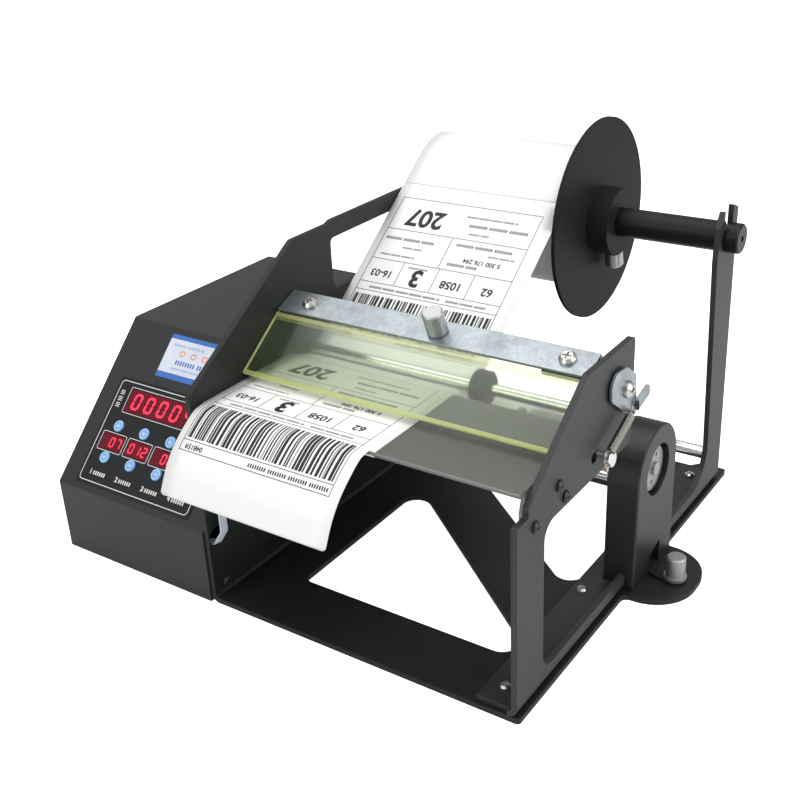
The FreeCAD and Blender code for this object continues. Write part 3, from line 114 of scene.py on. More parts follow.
# Rows of dashes on the label as (u0, u1, v, height), and numbers as (text, size, weight, u, v)
DASH_ROWS = ((50, 82, 112.0, 1.2), (54, 90, 106.0, 2.0), (56, 68, 101.0, 1.2), (6, 38, 90.5, 1.9),
             (20, 32, 85.5, 1.1), (8, 30, 79.6, 1.1), (52, 88, 92.6, 1.9), (74, 90, 88.6, 1.1),
             (30, 42, 73.4, 1.1), (12, 58, 56.9, 1.4), (62, 86, 56.9, 1.4), (46, 92, 25.2, 1.9),
             (52, 70, 79.6, 1.9))
NUMBERS = (("207", 16.0, 0.45, 25.0, 107.5), ("3", 15.0, 0.5, 37.5, 68.3), ("16-03", 6.2, 0.16, 15.0, 67.5),
           ("1058", 6.8, 0.18, 60.5, 67.5), ("62", 6.8, 0.18, 83.0, 67.5),
           ("5 300 176 294", 4.0, 0.1, 72.0, 84.5), ("048159", 3.6, 0.1, 12.0, 26.2))

# Dashes for small lettering, as shares of their height: width, step, and step after each group
DASH_W = 0.42
DASH_STEP = 0.72
GROUP_STEP = 1.3
GROUP = 8

# Guard: share of its haze, strength of the painted highlight along its bend, and in millimetres the bands of
# painted light: a painted highlight at its bend and a painted glow at its ends and its front edge, with how far
# the bend lies before the strip
HAZE_SHARE = 0.10
BEND_PAINTED_HIGHLIGHT = 0.45
BEND_HIGHLIGHT_BAND = 1.0
END_PAINTED_GLOW_BAND = 0.4
FRONT_PAINTED_GLOW_BAND = 1.4
BEND_AHEAD = 1.2

# Rays that a rounded edge is felt with
EDGE_SAMPLES = 4

# Panel in millimetres: thickness of its overlay and of the print, the print's height over the film and
# over keys and displays, radii of a key's pale ring, a painted highlight on the key's rim, and half the length and
# width of its sign's arms
OVERLAY_T = 0.4
PRINT_T = 0.03
PRINT_LIFT = 0.03
TOP_LIFT = 0.04
KEY_RIM_HIGHLIGHT_RADII = (3.05, 2.45)
SIGN_ARM = 1.3
SIGN_W = 0.28
CORNER_POINTS = 7
RING_POINTS = 32

# Lines on the panel as (distance, corner radius, width): its border and the outline of each window. Under
# a column a number as (size, weight, u, v) and dashes as (u0, u1, v, height), u from the column's middle.
# At the side, groups of bars as (u0, u1, width), with the height of each group and of each bar in it.
BORDER = (1.6, 2.4, 0.5)
WINDOW = (1.0, 1.0, 0.4)
COLUMN_NUMBER = (4.0, 0.12, -5.4, 7.2)
COLUMN_DASHES = (-3.4, 5.6, 6.0, 2.2)
SIDE_BARS = (4.0, 7.0, 0.5)
SIDE_GROUPS = (46.4, 50.2, 54.0)
SIDE_STEPS = (0.0, 1.0, 2.0)

# Sticker: bands at its head and foot, rows of dashes as (u0, u1, v, height in millimetres) and rings, all
# as shares of its width and height apart from the rings' radii
HEAD_BAND = 0.10
FOOT_BAND = 0.13
DARK_ROW = (0.24, 0.86, 0.34, 2.6)
PALE_ROWS = ((0.1, 0.62, 0.74, 1.6), (0.2, 0.9, 0.22, 1.2))
RING_U = (0.3, 0.5, 0.7)
RING_V = 0.60
RING_RADII = (1.9, 1.2)

# Figures: the segments of each, the ends of each segment as shares of width and height, its width and
# the figure's lean as shares of the height, the room round the row as shares of a figure's cell, and
# what each display reads, with the share of its height that the figures take
SEGMENTS = {"0": "abcdef", "1": "bc", "2": "abged", "3": "abgcd", "4": "fgbc", "5": "afgcd", "6": "afgedc",
            "7": "abc", "8": "abcdefg", "9": "abcdfg"}
SEGMENT_ENDS = {"a": (0, 1, 1, 1), "b": (1, 1, 1, 0.5), "c": (1, 0.5, 1, 0), "d": (1, 0, 0, 0),
                "e": (0, 0, 0, 0.5), "f": (0, 0.5, 0, 1), "g": (0, 0.5, 1, 0.5)}
SEGMENT_W = 0.17
LEAN = 0.08
LEAN_BACK = 0.03
CELL_ROOM = 0.35
CELL_START = 0.2
WIDE_IN_CELL = 0.62
WIDE_BY_TALL = 0.55
READINGS = (("000046", 0.62), (" 07", 0.55), ("012", 0.55), (" 08", 0.55), ("030", 0.55))

# Lever at the right plate, in millimetres from its pivot: (y, z, corner radius) of its sheet, then the
# finger that is jogged outwards from it by JOG, and the thickness of the solid that it stands for
LEVER_SHEET = [(1.6, -13.8, 2.5), (11.8, -10.6, 2), (10.2, 3.8, 5), (-1.1, 11.9, 7), (-11.6, 12.6, 5),
               (-17.2, 7.3, 4), (-16.4, -0.1, 3)]
LEVER_T = 1.5
FINGER_ROOT = np.array([9.0, -12.2])
FINGER_TIP = np.array([23.0, -8.6])
FINGER_W = 5.8
FINGER_CORNER = 1.5
ROOT_CORNER = 0.3
JOG = 2.0
JOG_GAP = 0.2
LEVER_EDGE = 0.12
SOLID_LEVER_T = 2.0
ARC_POINTS = 8
PIN_SIDES = 24

# Spring in millimetres: radii of its pins, play round them, half the thickness of its solid's wire, and
# its own wire's radius, with the turns and radius of the coil and of the narrower turns inside it. ASLANT
# is a direction that its wire never takes.
LOW_PIN_R = 2.5
TOP_PIN_R = 1.2
TOP_PIN_NECK_R = 0.95
TOP_PIN_HEAD = (0.55, 1.2)
PIN_JOIN = 0.05
PIN_PLAY = 0.3
SOLID_WIRE_R = 0.45
LOW_HOOK_R = LOW_PIN_R + PIN_PLAY + SOLID_WIRE_R
TOP_HOOK_R = TOP_PIN_R + PIN_PLAY + SOLID_WIRE_R
SPRING_WIRE_R = 0.42
WIRE_SIDES = 8
ASLANT = np.array([0.3, 0.5, 0.81])
COIL_TURNS = 26
COIL_R = 1.85
INNER_TURNS = 4
INNER_R = 1.0
TURN_POINTS = 16
HOOK_POINTS = 26
HOOK_SWEEP = 1.62 * math.pi
HOOK_TO_COIL = 0.6


# Arrays and meshes


def add_piece(name, points, faces, body, finish, smooth=True):
    """A mesh piece from an array of points and an array of faces, riding on a body if one is named."""
    mesh = bpy.data.meshes.new(name)
    mesh.from_pydata(np.asarray(points, float).tolist(), [], [list(face) for face in faces])
    mesh.polygons.foreach_set("use_smooth", np.full(len(mesh.polygons), smooth))
    mesh.update()
    piece = bpy.data.objects.new(name, mesh)
    bpy.context.scene.collection.objects.link(piece)
    piece.data.materials.append(finish)
    if body:
        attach(piece, body)
    return piece


def grid_faces(rows, columns, closed=False):
    """Quads of a rows by columns grid of points, each row wrapped round if it is closed."""
    r = np.arange(rows - 1)[:, None]
    c = np.arange(columns if closed else columns - 1)[None, :]
    r2, c2 = r + 1, (c + 1) % columns
    quads = [r * columns + c, r * columns + c2, r2 * columns + c2, r2 * columns + c]
    return np.stack([np.broadcast_to(q, (r.shape[0], c.shape[1])).ravel() for q in quads], axis=1)


def join_parts(parts):
    """One list of points and one of faces from several (points, faces) pairs."""
    points, faces, count = [], [], 0
    for p, f in parts:
        points.append(np.asarray(p, float))
        faces += [[int(i) + count for i in face] for face in f]
        count += len(p)
    return np.concatenate(points), faces


def thicken(piece, thickness):
    """A wall under the sheet, its thickness in millimetres."""
    wall = piece.modifiers.new("thickness", "SOLIDIFY")
    wall.thickness = thickness * MM
    wall.offset = -1.0
    return piece


def tube(centres, radius, sides):
    """Round tube along a polyline: each ring is the centre plus radius times the cosine and sine of the
    turn along two normals, the first square to the path and to ASLANT; ends meet in a centre point."""
    centres = np.asarray(centres, float)
    along = np.gradient(centres, axis=0)
    along /= np.linalg.norm(along, axis=1)[:, None]
    first = np.cross(along, ASLANT)
    first /= np.linalg.norm(first, axis=1)[:, None]
    second = np.cross(along, first)
    turn = np.linspace(0, 2 * np.pi, sides, endpoint=False)
    rings = (centres[:, None, :] + radius * np.cos(turn)[None, :, None] * first[:, None, :]
             + radius * np.sin(turn)[None, :, None] * second[:, None, :])
    points = np.concatenate([rings.reshape(-1, 3), centres[:1], centres[-1:]])
    faces = grid_faces(len(centres), sides, closed=True).tolist()
    last, start = len(points) - 1, (len(centres) - 1) * sides
    faces += [[len(points) - 2, (k + 1) % sides, k] for k in range(sides)]
    faces += [[last, start + k, start + (k + 1) % sides] for k in range(sides)]
    return points, faces


def text_shape(body, size, weight):
    """Points and faces of flat lettering, centred on its own middle, from the built-in font made bolder
    by weight on every side."""
    curve = bpy.data.curves.new("lettering", "FONT")
    curve.body = body
    curve.size = size
    curve.offset = weight
    curve.resolution_u = 4
    curve.align_x = "CENTER"
    curve.align_y = "CENTER"
    holder = bpy.data.objects.new("lettering", curve)
    bpy.context.scene.collection.objects.link(holder)
    bpy.context.view_layer.update()
    mesh = bpy.data.meshes.new_from_object(holder)
    flat = np.zeros(len(mesh.vertices) * 3)
    mesh.vertices.foreach_get("co", flat)
    faces = [list(p.vertices) for p in mesh.polygons]
    bpy.data.objects.remove(holder)
    bpy.data.meshes.remove(mesh)
    return flat.reshape(-1, 3)[:, :2], faces


def bar(x0, x1, y0, y1):
    """Flat rectangle as a grid with points every ROW_STEP along y, so that it can follow a curve."""
    rows = max(2, int(math.ceil(abs(y1 - y0) / ROW_STEP)) + 1)
    yy, xx = np.meshgrid(np.linspace(y0, y1, rows), np.array([x0, x1]), indexing="ij")
    return np.stack([xx.ravel(), yy.ravel()], axis=1), grid_faces(rows, 2)


def outline_box(x0, x1, y0, y1, width):
    """Four bars round a rectangle."""
    return [bar(x0, x1, y0, y0 + width), bar(x0, x1, y1 - width, y1), bar(x0, x0 + width, y0, y1),
            bar(x1 - width, x1, y0, y1)]


# Materials


def give(tree, socket, value):
    """Link another node's output to a socket, or set the socket's own value."""
    if isinstance(value, bpy.types.NodeSocket):
        tree.links.new(value, socket)
    else:
        socket.default_value = value


def feed(tree, node, **inputs):
    """Give a node's inputs by name, an underscore for each space."""
    for name, value in inputs.items():
        give(tree, node.inputs[name.replace("_", " ")], value)
    return node


def add_node(tree, kind, **inputs):
    """A new shader node with its inputs given."""
    return feed(tree, tree.nodes.new("ShaderNode" + kind), **inputs)


def new_material(name, color, roughness, metallic=0.0, shine=0.5):
    """A node material; returns it with its node tree and its Principled node."""
    material = bpy.data.materials.new(name)
    material.use_nodes = True
    tree = material.node_tree
    surface = feed(tree, tree.nodes["Principled BSDF"], Base_Color=(*color, 1), Roughness=roughness,
                   Metallic=metallic, Specular_IOR_Level=shine)
    return material, tree, surface


def place_pattern(tree, scale=(1, 1, 1), turn=(0, 0, 0), centre=(0, 0, 0)):
    """Object coordinates in metres, scaled, turned and shifted."""
    at = add_node(tree, "TexCoord").outputs["Object"]
    return add_node(tree, "Mapping", Vector=at, Scale=scale, Rotation=turn, Location=centre).outputs["Vector"]


def noise(tree, vector, scale, detail, rough=0.5):
    """Noise from 0 to 1 at a point times the scale."""
    cloud = add_node(tree, "TexNoise", Vector=vector, Scale=scale, Detail=detail, Roughness=rough)
    return cloud.outputs["Fac"]


def shade(tree, surface, value, low, high, color_low, color_high):
    """Base colour from a value: one colour up to low, another from high on, and a blend between."""
    blend = add_node(tree, "ValToRGB", Fac=value)
    for element, position, color in zip(blend.color_ramp.elements, (low, high), (color_low, color_high)):
        element.position = position
        element.color = (*color, 1)
    feed(tree, surface, Base_Color=blend.outputs["Color"])


def spread(tree, value, low, high):
    """A value from 0 to 1 spread over a range."""
    return add_node(tree, "MapRange", Value=value, To_Min=low, To_Max=high).outputs["Result"]


def math_node(tree, operation, *values):
    """One step of arithmetic on values that are each a number or another node's output."""
    node = add_node(tree, "Math")
    node.operation = operation
    for socket, value in zip(node.inputs, values):
        give(tree, socket, value)
    return node.outputs[0]


def split_axes(tree, vector):
    """The X, Y and Z of a vector, by name."""
    return add_node(tree, "SeparateXYZ", Vector=vector).outputs


def add_bump(tree, surface, height, distance, strength, edge=0.0):
    """Relief from a height, over edges that look rounded by the radius edge in metres."""
    bump = add_node(tree, "Bump", Strength=strength, Distance=distance, Height=height)
    if edge:
        rounded = add_node(tree, "Bevel", Radius=edge)
        rounded.samples = EDGE_SAMPLES
        feed(tree, bump, Normal=rounded.outputs["Normal"])
    feed(tree, surface, Normal=bump.outputs["Normal"])


def tint(color, factor):
    """The colour times a factor, no part of it over 1."""
    return tuple(min(1.0, c * factor) for c in color)


def powder_coat(name, color, roughness, grain=1400.0, depth=0.00003, shine=0.4):
    """Fine orange-peel paint: small noise in height, broad noise in colour and gloss."""
    material, tree, surface = new_material(name, color, roughness, 0.0, shine)
    vector = place_pattern(tree)
    fine = noise(tree, vector, grain, 2.0)
    broad = noise(tree, vector, 14.0, 4.0)
    shade(tree, surface, broad, 0.3, 0.7, tint(color, 0.88), tint(color, 1.12))
    feed(tree, surface, Roughness=spread(tree, broad, roughness - 0.06, roughness + 0.06))
    add_bump(tree, surface, fine, depth, 0.6, 0.0005)
    return material


def moulded(name, color, roughness, coat=0.0, shine=0.4):
    """Moulded plastic with a faint spark-eroded grain."""
    material, tree, surface = new_material(name, color, roughness, 0.0, shine)
    vector = place_pattern(tree)
    fine = noise(tree, vector, 2200.0, 2.0)
    broad = noise(tree, vector, 40.0, 3.0)
    shade(tree, surface, broad, 0.3, 0.7, tint(color, 0.93), tint(color, 1.07))
    feed(tree, surface, Coat_Weight=coat, Coat_Roughness=0.12)
    add_bump(tree, surface, fine, 0.000008, 0.3, 0.0003)
    return material


def grained_metal(name, color, roughness, stretch, scale=900.0, depth=0.00001):
    """Metal whose fine grain is noise drawn out along one axis."""
    material, tree, surface = new_material(name, color, roughness, 1.0)
    vector = place_pattern(tree, stretch)
    lines = noise(tree, vector, scale, 3.0)
    cloudy = noise(tree, place_pattern(tree), 30.0, 3.0)
    shade(tree, surface, lines, 0.25, 0.75, tint(color, 0.86), tint(color, 1.1))
    feed(tree, surface, Roughness=spread(tree, cloudy, roughness - 0.07, roughness + 0.07))
    add_bump(tree, surface, lines, depth, 0.4, 0.0002)
    return material


def spangled_zinc(name, color, roughness):
    """Galvanised sheet: small cells of slightly different tone and gloss under broad smudges."""
    material, tree, surface = new_material(name, color, roughness, 0.9)
    vector = place_pattern(tree)
    cells = add_node(tree, "TexVoronoi", Vector=vector, Scale=520.0)
    tone = add_node(tree, "SeparateColor", Color=cells.outputs["Color"]).outputs["Red"]
    smudges = noise(tree, vector, 60.0, 5.0, 0.65)
    mottle = math_node(tree, "MULTIPLY", spread(tree, tone, 0.75, 1.0), smudges)
    shade(tree, surface, mottle, 0.25, 0.6, tint(color, 0.72), tint(color, 1.12))
    feed(tree, surface, Roughness=spread(tree, mottle, roughness + 0.12, roughness - 0.08))
    lines = noise(tree, place_pattern(tree, (0.05, 1, 1)), 1500.0, 2.0)
    add_bump(tree, surface, lines, 0.000003, 0.4, 0.0003)
    return material


def paper(name, color, roughness=0.42, sheen=0.25):
    """Smooth coated paper with a faint fibre relief."""
    material, tree, surface = new_material(name, color, roughness)
    fibres = noise(tree, place_pattern(tree), 700.0, 5.0, 0.6)
    shade(tree, surface, fibres, 0.3, 0.7, tint(color, 0.975), tint(color, 1.01))
    feed(tree, surface, Coat_Weight=sheen, Coat_Roughness=0.3)
    add_bump(tree, surface, fibres, 0.00001, 0.3)
    return material


def wound_paper(name, color, centre):
    """Edge of a roll: rings from the distance to the roll's axis, only on faces that look along X."""
    material, tree, surface = new_material(name, color, 0.5)
    vector = place_pattern(tree, (0, 1, 1), (0, 0, 0), (0, -centre.y, -centre.z))
    rings = add_node(tree, "TexWave", Vector=vector, Scale=190.0, Distortion=0.8)
    rings.wave_type = "RINGS"
    rings.rings_direction = "X"
    normal = split_axes(tree, add_node(tree, "NewGeometry").outputs["Normal"])
    side = math_node(tree, "ABSOLUTE", normal["X"])
    mask = math_node(tree, "MULTIPLY", side, rings.outputs["Fac"])
    shade(tree, surface, mask, 0.0, 1.0, color, tint(color, 0.72))
    add_bump(tree, surface, mask, 0.00006, 0.5)
    return material


def mix_shaders(tree, share, first, second):
    """Two shaders mixed by the second one's share."""
    node = add_node(tree, "MixShader")
    for socket, value in zip(node.inputs, (share, first.outputs[0], second.outputs[0])):
        give(tree, socket, value)
    return node


def tinted_acrylic(name, low, high, bend_y):
    """Clear sheet with a little haze, and light painted on it by a paler yellow-green surface: a painted glow on
    its sawn ends and front edge and a painted highlight along its bend. The mask is 1 where a point is near the
    sheet's ends or its front edge, and a smaller share where it is near the bend."""
    material, tree, surface = new_material(name, (0.91, 0.97, 0.80), 0.09, 0.0, 0.35)
    feed(tree, surface, Transmission_Weight=1.0, IOR=1.45)
    haze = add_node(tree, "BsdfTranslucent", Color=(0.30, 0.42, 0.28, 1))
    body = mix_shaders(tree, HAZE_SHARE, surface, haze)
    # Paler yellow-green surface that paints the light: painted glow on the sawn edges, painted highlight at the
    # bend
    edge = add_node(tree, "BsdfPrincipled", Base_Color=(0.76, 0.80, 0.34, 1), Roughness=0.35,
                    Transmission_Weight=0.3)
    at = split_axes(tree, place_pattern(tree))
    # Mask of painted light: a share of it in the bend's band, all of it in the bands at the ends and front edge
    mask = math_node(tree, "MULTIPLY", math_node(tree, "COMPARE", at["Y"], bend_y, BEND_HIGHLIGHT_BAND * MM), BEND_PAINTED_HIGHLIGHT)
    bands = (("X", "LESS_THAN", low.x + END_PAINTED_GLOW_BAND * MM), ("X", "GREATER_THAN", high.x - END_PAINTED_GLOW_BAND * MM),
             ("Z", "LESS_THAN", low.z + FRONT_PAINTED_GLOW_BAND * MM))
    for axis, side, limit in bands:
        mask = math_node(tree, "MAXIMUM", mask, math_node(tree, side, at[axis], limit))
    with_painted_light = mix_shaders(tree, mask, body, edge)
    feed(tree, tree.nodes["Material Output"], Surface=with_painted_light.outputs[0])
    return material


def lit(name, color, strength):
    """Segments that glow."""
    material, tree, surface = new_material(name, color, 0.4)
    flicker = noise(tree, place_pattern(tree), 300.0, 2.0)
    feed(tree, surface, Emission_Color=(*color, 1), Emission_Strength=strength,
         Roughness=spread(tree, flicker, 0.3, 0.45))
    return material


def circuit_board(name, color):
    """Solder mask with traces: cells of a fine pattern a little darker than the rest."""
    material, tree, surface = new_material(name, color, 0.35)
    cells = add_node(tree, "TexBrick", Vector=place_pattern(tree), Scale=160.0, Mortar_Size=0.03,
                     Color1=(*color, 1), Color2=(*tint(color, 0.8), 1), Mortar=(*tint(color, 1.6), 1))
    feed(tree, surface, Base_Color=cells.outputs["Color"])
    return material


def board_tube(name, color):
    """Spiral-wound cardboard: slanted bands along the tube."""
    material, tree, surface = new_material(name, color, 0.8)
    slanted = place_pattern(tree, (1, 0.6, 0.6), (0, 0, 0.5))
    bands = add_node(tree, "TexWave", Vector=slanted, Scale=60.0, Distortion=1.5)
    shade(tree, surface, bands.outputs["Fac"], 0.0, 1.0, tint(color, 0.85), color)
    return material


ROLL_LOW, ROLL_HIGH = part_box("label_roll")
ROLL_CENTRE = (ROLL_LOW + ROLL_HIGH) / 2
COIL_LOW, COIL_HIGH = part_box("liner_coil")
GUARD_LOW, GUARD_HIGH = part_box("acrylic_guard")
BEND_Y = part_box("sensor_strip")[0].y - BEND_AHEAD * MM

# black_coat and black_coat_painted_lit are one black paint: black_coat_painted_lit is a lighter copy with painted
# light, for the side plate that faces the light, and black_coat the copy for faces in shade
BLACK_COAT = powder_coat("black_coat", (0.0085, 0.010, 0.0095), 0.50)
BLACK_COAT_PAINTED_LIT = powder_coat("black_coat_painted_lit", (0.027, 0.029, 0.030), 0.46)
BOX_COAT = powder_coat("box_coat", (0.019, 0.022, 0.0235), 0.46, 1100.0, 0.00004)
ZINC = spangled_zinc("zinc_sheet", (0.38, 0.42, 0.445), 0.3)
SATIN_STEEL = grained_metal("satin_steel", (0.21, 0.21, 0.20), 0.50, (1, 1, 1), 1500.0, 0.000006)
BRIGHT_STEEL = grained_metal("bright_steel", (0.82, 0.82, 0.82), 0.14, (1, 0.02, 0.02), 700.0)
PLATED = grained_metal("plated_screw", (0.62, 0.61, 0.58), 0.24, (1, 1, 1))
BLACK_OXIDE = moulded("black_oxide", (0.022, 0.022, 0.023), 0.34)
ALUMINIUM = grained_metal("turned_aluminium", (0.52, 0.53, 0.53), 0.40, (1, 1, 0.05), 1200.0, 0.00002)
CAP_METAL = grained_metal("cap_metal", (0.42, 0.43, 0.44), 0.45, (1, 1, 1), 1200.0, 0.00002)
HOUSING_COAT = powder_coat("housing_coat", (0.011, 0.0125, 0.0125), 0.42, 1400.0, 0.00002, 0.45)
SCREW_METAL = grained_metal("screw_metal", (0.44, 0.45, 0.45), 0.5, (1, 1, 0.05), 1200.0, 0.00003)
BLACK_SHAFT = moulded("black_shaft", (0.007, 0.007, 0.008), 0.3, 0.0, 0.2)
DISC_PLASTIC = moulded("disc_plastic", (0.015, 0.0165, 0.016), 0.5, 0.0, 0.1)
ACRYLIC = tinted_acrylic("acrylic", GUARD_LOW, GUARD_HIGH, BEND_Y)
LABEL_PAPER = paper("label_paper", (0.88, 0.88, 0.87))
LINER_PAPER = paper("liner_paper", (0.86, 0.86, 0.84), 0.35, 0.4)
ROLL_PAPER = wound_paper("roll_paper", (0.87, 0.87, 0.86), ROLL_CENTRE)
COIL_PAPER = wound_paper("coil_paper", (0.86, 0.86, 0.84), (COIL_LOW + COIL_HIGH) / 2)
CORE_BOARD = board_tube("core_board", (0.40, 0.28, 0.17))
BLACK_RUBBER = moulded("black_rubber", (0.03, 0.03, 0.031), 0.7)
BRONZE = grained_metal("bronze", (0.50, 0.42, 0.30), 0.38, (1, 0.1, 0.1))
OVERLAY_FILM = moulded("overlay_film", (0.012, 0.014, 0.015), 0.42, 0.0, 0.25)
STICKER_FILM = moulded("sticker_film", (0.66, 0.70, 0.80), 0.30, 0.2)
DISPLAY_FILTER = moulded("display_filter", (0.13, 0.002, 0.010), 0.3, 0.2, 0.2)
LIT_SEGMENT = lit("lit_segment", (1.0, 0.025, 0.075), 0.8)
# key_rim_highlight: pale blue for the painted highlight ring on each key's rim
KEY_BLUE = moulded("key_blue", (0.20, 0.44, 0.80), 0.36, 0.2)
KEY_RIM_HIGHLIGHT = moulded("key_rim_highlight", (0.46, 0.66, 0.93), 0.32, 0.3)
WHITE_PRINT = moulded("white_print", (0.75, 0.77, 0.78), 0.5)
BLUE_PRINT = moulded("blue_print", (0.045, 0.16, 0.50), 0.4)
PALE_BLUE_PRINT = moulded("pale_blue_print", (0.36, 0.46, 0.66), 0.4)
ORANGE_PRINT = moulded("orange_print", (0.80, 0.33, 0.14), 0.4)
INK = moulded("ink", (0.012, 0.012, 0.013), 0.5)
GREEN_BOARD = circuit_board("green_board", (0.02, 0.16, 0.06))
BLACK_PLASTIC = moulded("black_plastic", (0.02, 0.02, 0.021), 0.4)
RED_PLASTIC = moulded("red_plastic", (0.45, 0.015, 0.015), 0.3, 0.3)
MOTOR_CASE = powder_coat("motor_case", (0.12, 0.12, 0.13), 0.4)
PULLEY_ALLOY = grained_metal("pulley_alloy", (0.62, 0.62, 0.62), 0.35, (1, 0.05, 0.05))
SPRING_WIRE = grained_metal("spring_wire", (0.38, 0.365, 0.33), 0.26, (1, 1, 1))
RIBBON = moulded("lead_ribbon", (0.70, 0.78, 0.88), 0.45)

FINISHES = {
    "black_plate": BLACK_COAT, "grey_plate": BLACK_COAT_PAINTED_LIT, "box_paint": BOX_COAT, "zinc_sheet": ZINC,
    "satin_steel": SATIN_STEEL, "bright_steel": BRIGHT_STEEL, "plated_screw": PLATED,
    "black_screw": BLACK_OXIDE, "turned_aluminium": ALUMINIUM, "black_shaft": BLACK_SHAFT,
    "disc_plastic": DISC_PLASTIC, "acrylic": ACRYLIC, "label_paper": ROLL_PAPER, "liner_paper": COIL_PAPER,
    "core_board": CORE_BOARD, "bearing_steel": BRIGHT_STEEL, "roller_rubber": BLACK_RUBBER, "bronze": BRONZE,
    "overlay_film": OVERLAY_FILM, "sticker_film": STICKER_FILM, "display_red": DISPLAY_FILTER,
    "button_blue": KEY_BLUE, "board_green": GREEN_BOARD, "black_plastic": BLACK_PLASTIC,
    "switch_red": RED_PLASTIC, "motor_paint": MOTOR_CASE, "pulley_alloy": PULLEY_ALLOY,
    "belt_rubber": BLACK_RUBBER, "spring_steel": SPRING_WIRE, "lead_ribbon": RIBBON,
}
OWN_FINISHES = {"spindle_cap": CAP_METAL, "ear_thumbscrew": SCREW_METAL, "side_housing": HOUSING_COAT}


def dress_cad_nodes():
    """Every CAD node gets its own finish, if it has one, or its slot's."""
    for entry in frame["record"]["subparts"]:
        name = entry["node"]
        materials = frame["nodes"][name].data.materials
        materials.clear()
        materials.append(OWN_FINISHES.get(name, FINISHES[entry["material_slot"]]))


# The label web


def turn_round(circle, start, end, count):
    """Points on a circle (y, z, radius, direction) from one contact point to the next."""
    y, z, radius, direction = circle
    a0 = math.atan2(start[1] - z, start[0] - y)
    sweep = (direction * (math.atan2(end[1] - z, end[0] - y) - a0)) % (2 * math.pi)
    angles = a0 + direction * sweep * np.linspace(0, 1, count)
    return np.stack([y + radius * np.cos(angles), z + radius * np.sin(angles)], axis=1)


def tangent(first, second):
    """Contact points of the straight run that leaves one circle and meets the next."""
    (y1, z1, r1, s1), (y2, z2, r2, s2) = first, second
    distance = math.hypot(y2 - y1, z2 - z1)
    heading = math.atan2(z2 - z1, y2 - y1) - math.asin((s2 * r2 - s1 * r1) / distance)
    side = (-math.sin(heading), math.cos(heading))
    first_contact = (y1 - s1 * r1 * side[0], z1 - s1 * r1 * side[1])
    return first_contact, (y2 - s2 * r2 * side[0], z2 - s2 * r2 * side[1])


def smooth_curve(points, count):
    """Catmull-Rom curve: between two points, a cubic whose slopes come from their neighbours."""
    p = np.asarray(points, float)
    p = np.concatenate([2 * p[:1] - p[1:2], p, 2 * p[-1:] - p[-2:-1]])
    t = np.linspace(0, len(points) - 1, count)
    k = np.minimum(t.astype(int), len(points) - 2)
    f = (t - k)[:, None]
    a, b, c, d = p[k], p[k + 1], p[k + 2], p[k + 3]
    bend, swing = 2 * a - 5 * b + 4 * c - d, 3 * b - a - 3 * c + d
    return 0.5 * (2 * b + (c - a) * f + bend * f ** 2 + swing * f ** 3)


def lengths_along(points):
    """Distance from the first point to each one along the line through them."""
    return np.concatenate([[0], np.cumsum(np.linalg.norm(np.diff(points, axis=0), axis=1))])


def follow(s, lengths, path, step):
    """Places (y, z) at distances s along a path, and its run there, from a step behind to a step ahead."""
    behind, at, ahead = (np.array([np.interp(s + shift, lengths, axis) for axis in path.T])
                         for shift in (-step, 0.0, step))
    return at, ahead - behind


class Web:
    """The label web in the YZ plane, measured in millimetres from the top of the peel edge."""

    def __init__(self):
        """Circles (y, z, radius, direction) that the web goes round, joined by tangents from the roll down
        and then followed the other way, from the peel edge up."""
        rod_low, rod_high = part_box("guide_rod")
        plate_low, plate_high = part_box("peel_plate")
        web_low, web_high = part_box("label_web")
        roll_r = (ROLL_HIGH.z - ROLL_LOW.z) / 2 / MM
        rod_r = (rod_high.z - rod_low.z) / 2 / MM
        rod_y, rod_z = (rod_low.y + rod_high.y) / 2 / MM, (rod_low.z + rod_high.z) / 2 / MM
        top = plate_high.z / MM
        roll = (ROLL_CENTRE.y / MM, ROLL_CENTRE.z / MM, roll_r + OVER_ROLLER, 1)
        rod = (rod_y, rod_z, rod_r + OVER_ROLLER, -1)
        nose = (plate_low.y / MM + NOSE_R, top - NOSE_R, NOSE_R + OVER_PLATE, 1)
        crest = (nose[0] + CREST_BACK, top - CREST_R, CREST_R + OVER_PLATE, 1)
        down, across, flat = tangent(roll, rod), tangent(rod, crest), tangent(crest, nose)
        crown = (roll[0], roll[1] + roll[2])
        self.x0, self.x1 = web_low.x / MM, web_high.x / MM
        self.run = np.concatenate([
            np.array([flat[1]]),
            turn_round((*crest[:3], -1), flat[0], across[1], 10),
            turn_round((*rod[:3], 1), across[0], down[1], 16),
            turn_round((*roll[:3], -1), down[0], crown, 40)])
        self.length = lengths_along(self.run)
        tail = smooth_curve(PEEL_CURVE, 90) + np.array([nose[0], top + OVER_PLATE])
        self.tail = tail[::-1]
        self.tail_length = (PEEL_CURVE[0][0] - lengths_along(tail))[::-1]

    def place(self, x, s, lift, free_tail):
        """Points in metres for x across and s along the web, lifted along the surface's normal."""
        at, run = follow(s, self.length, self.run, RUN_STEP)
        if free_tail:
            tail = s < self.tail_length[-1]
            tail_at, tail_run = follow(s, self.tail_length, self.tail, TAIL_STEP)
            at, run = np.where(tail, tail_at, at), np.where(tail, tail_run, run)
        normal = np.array([-run[1], run[0]]) / np.hypot(*run)
        y, z = at + normal * lift
        return np.stack([x, y, z], axis=-1) * MM


WEB = Web()


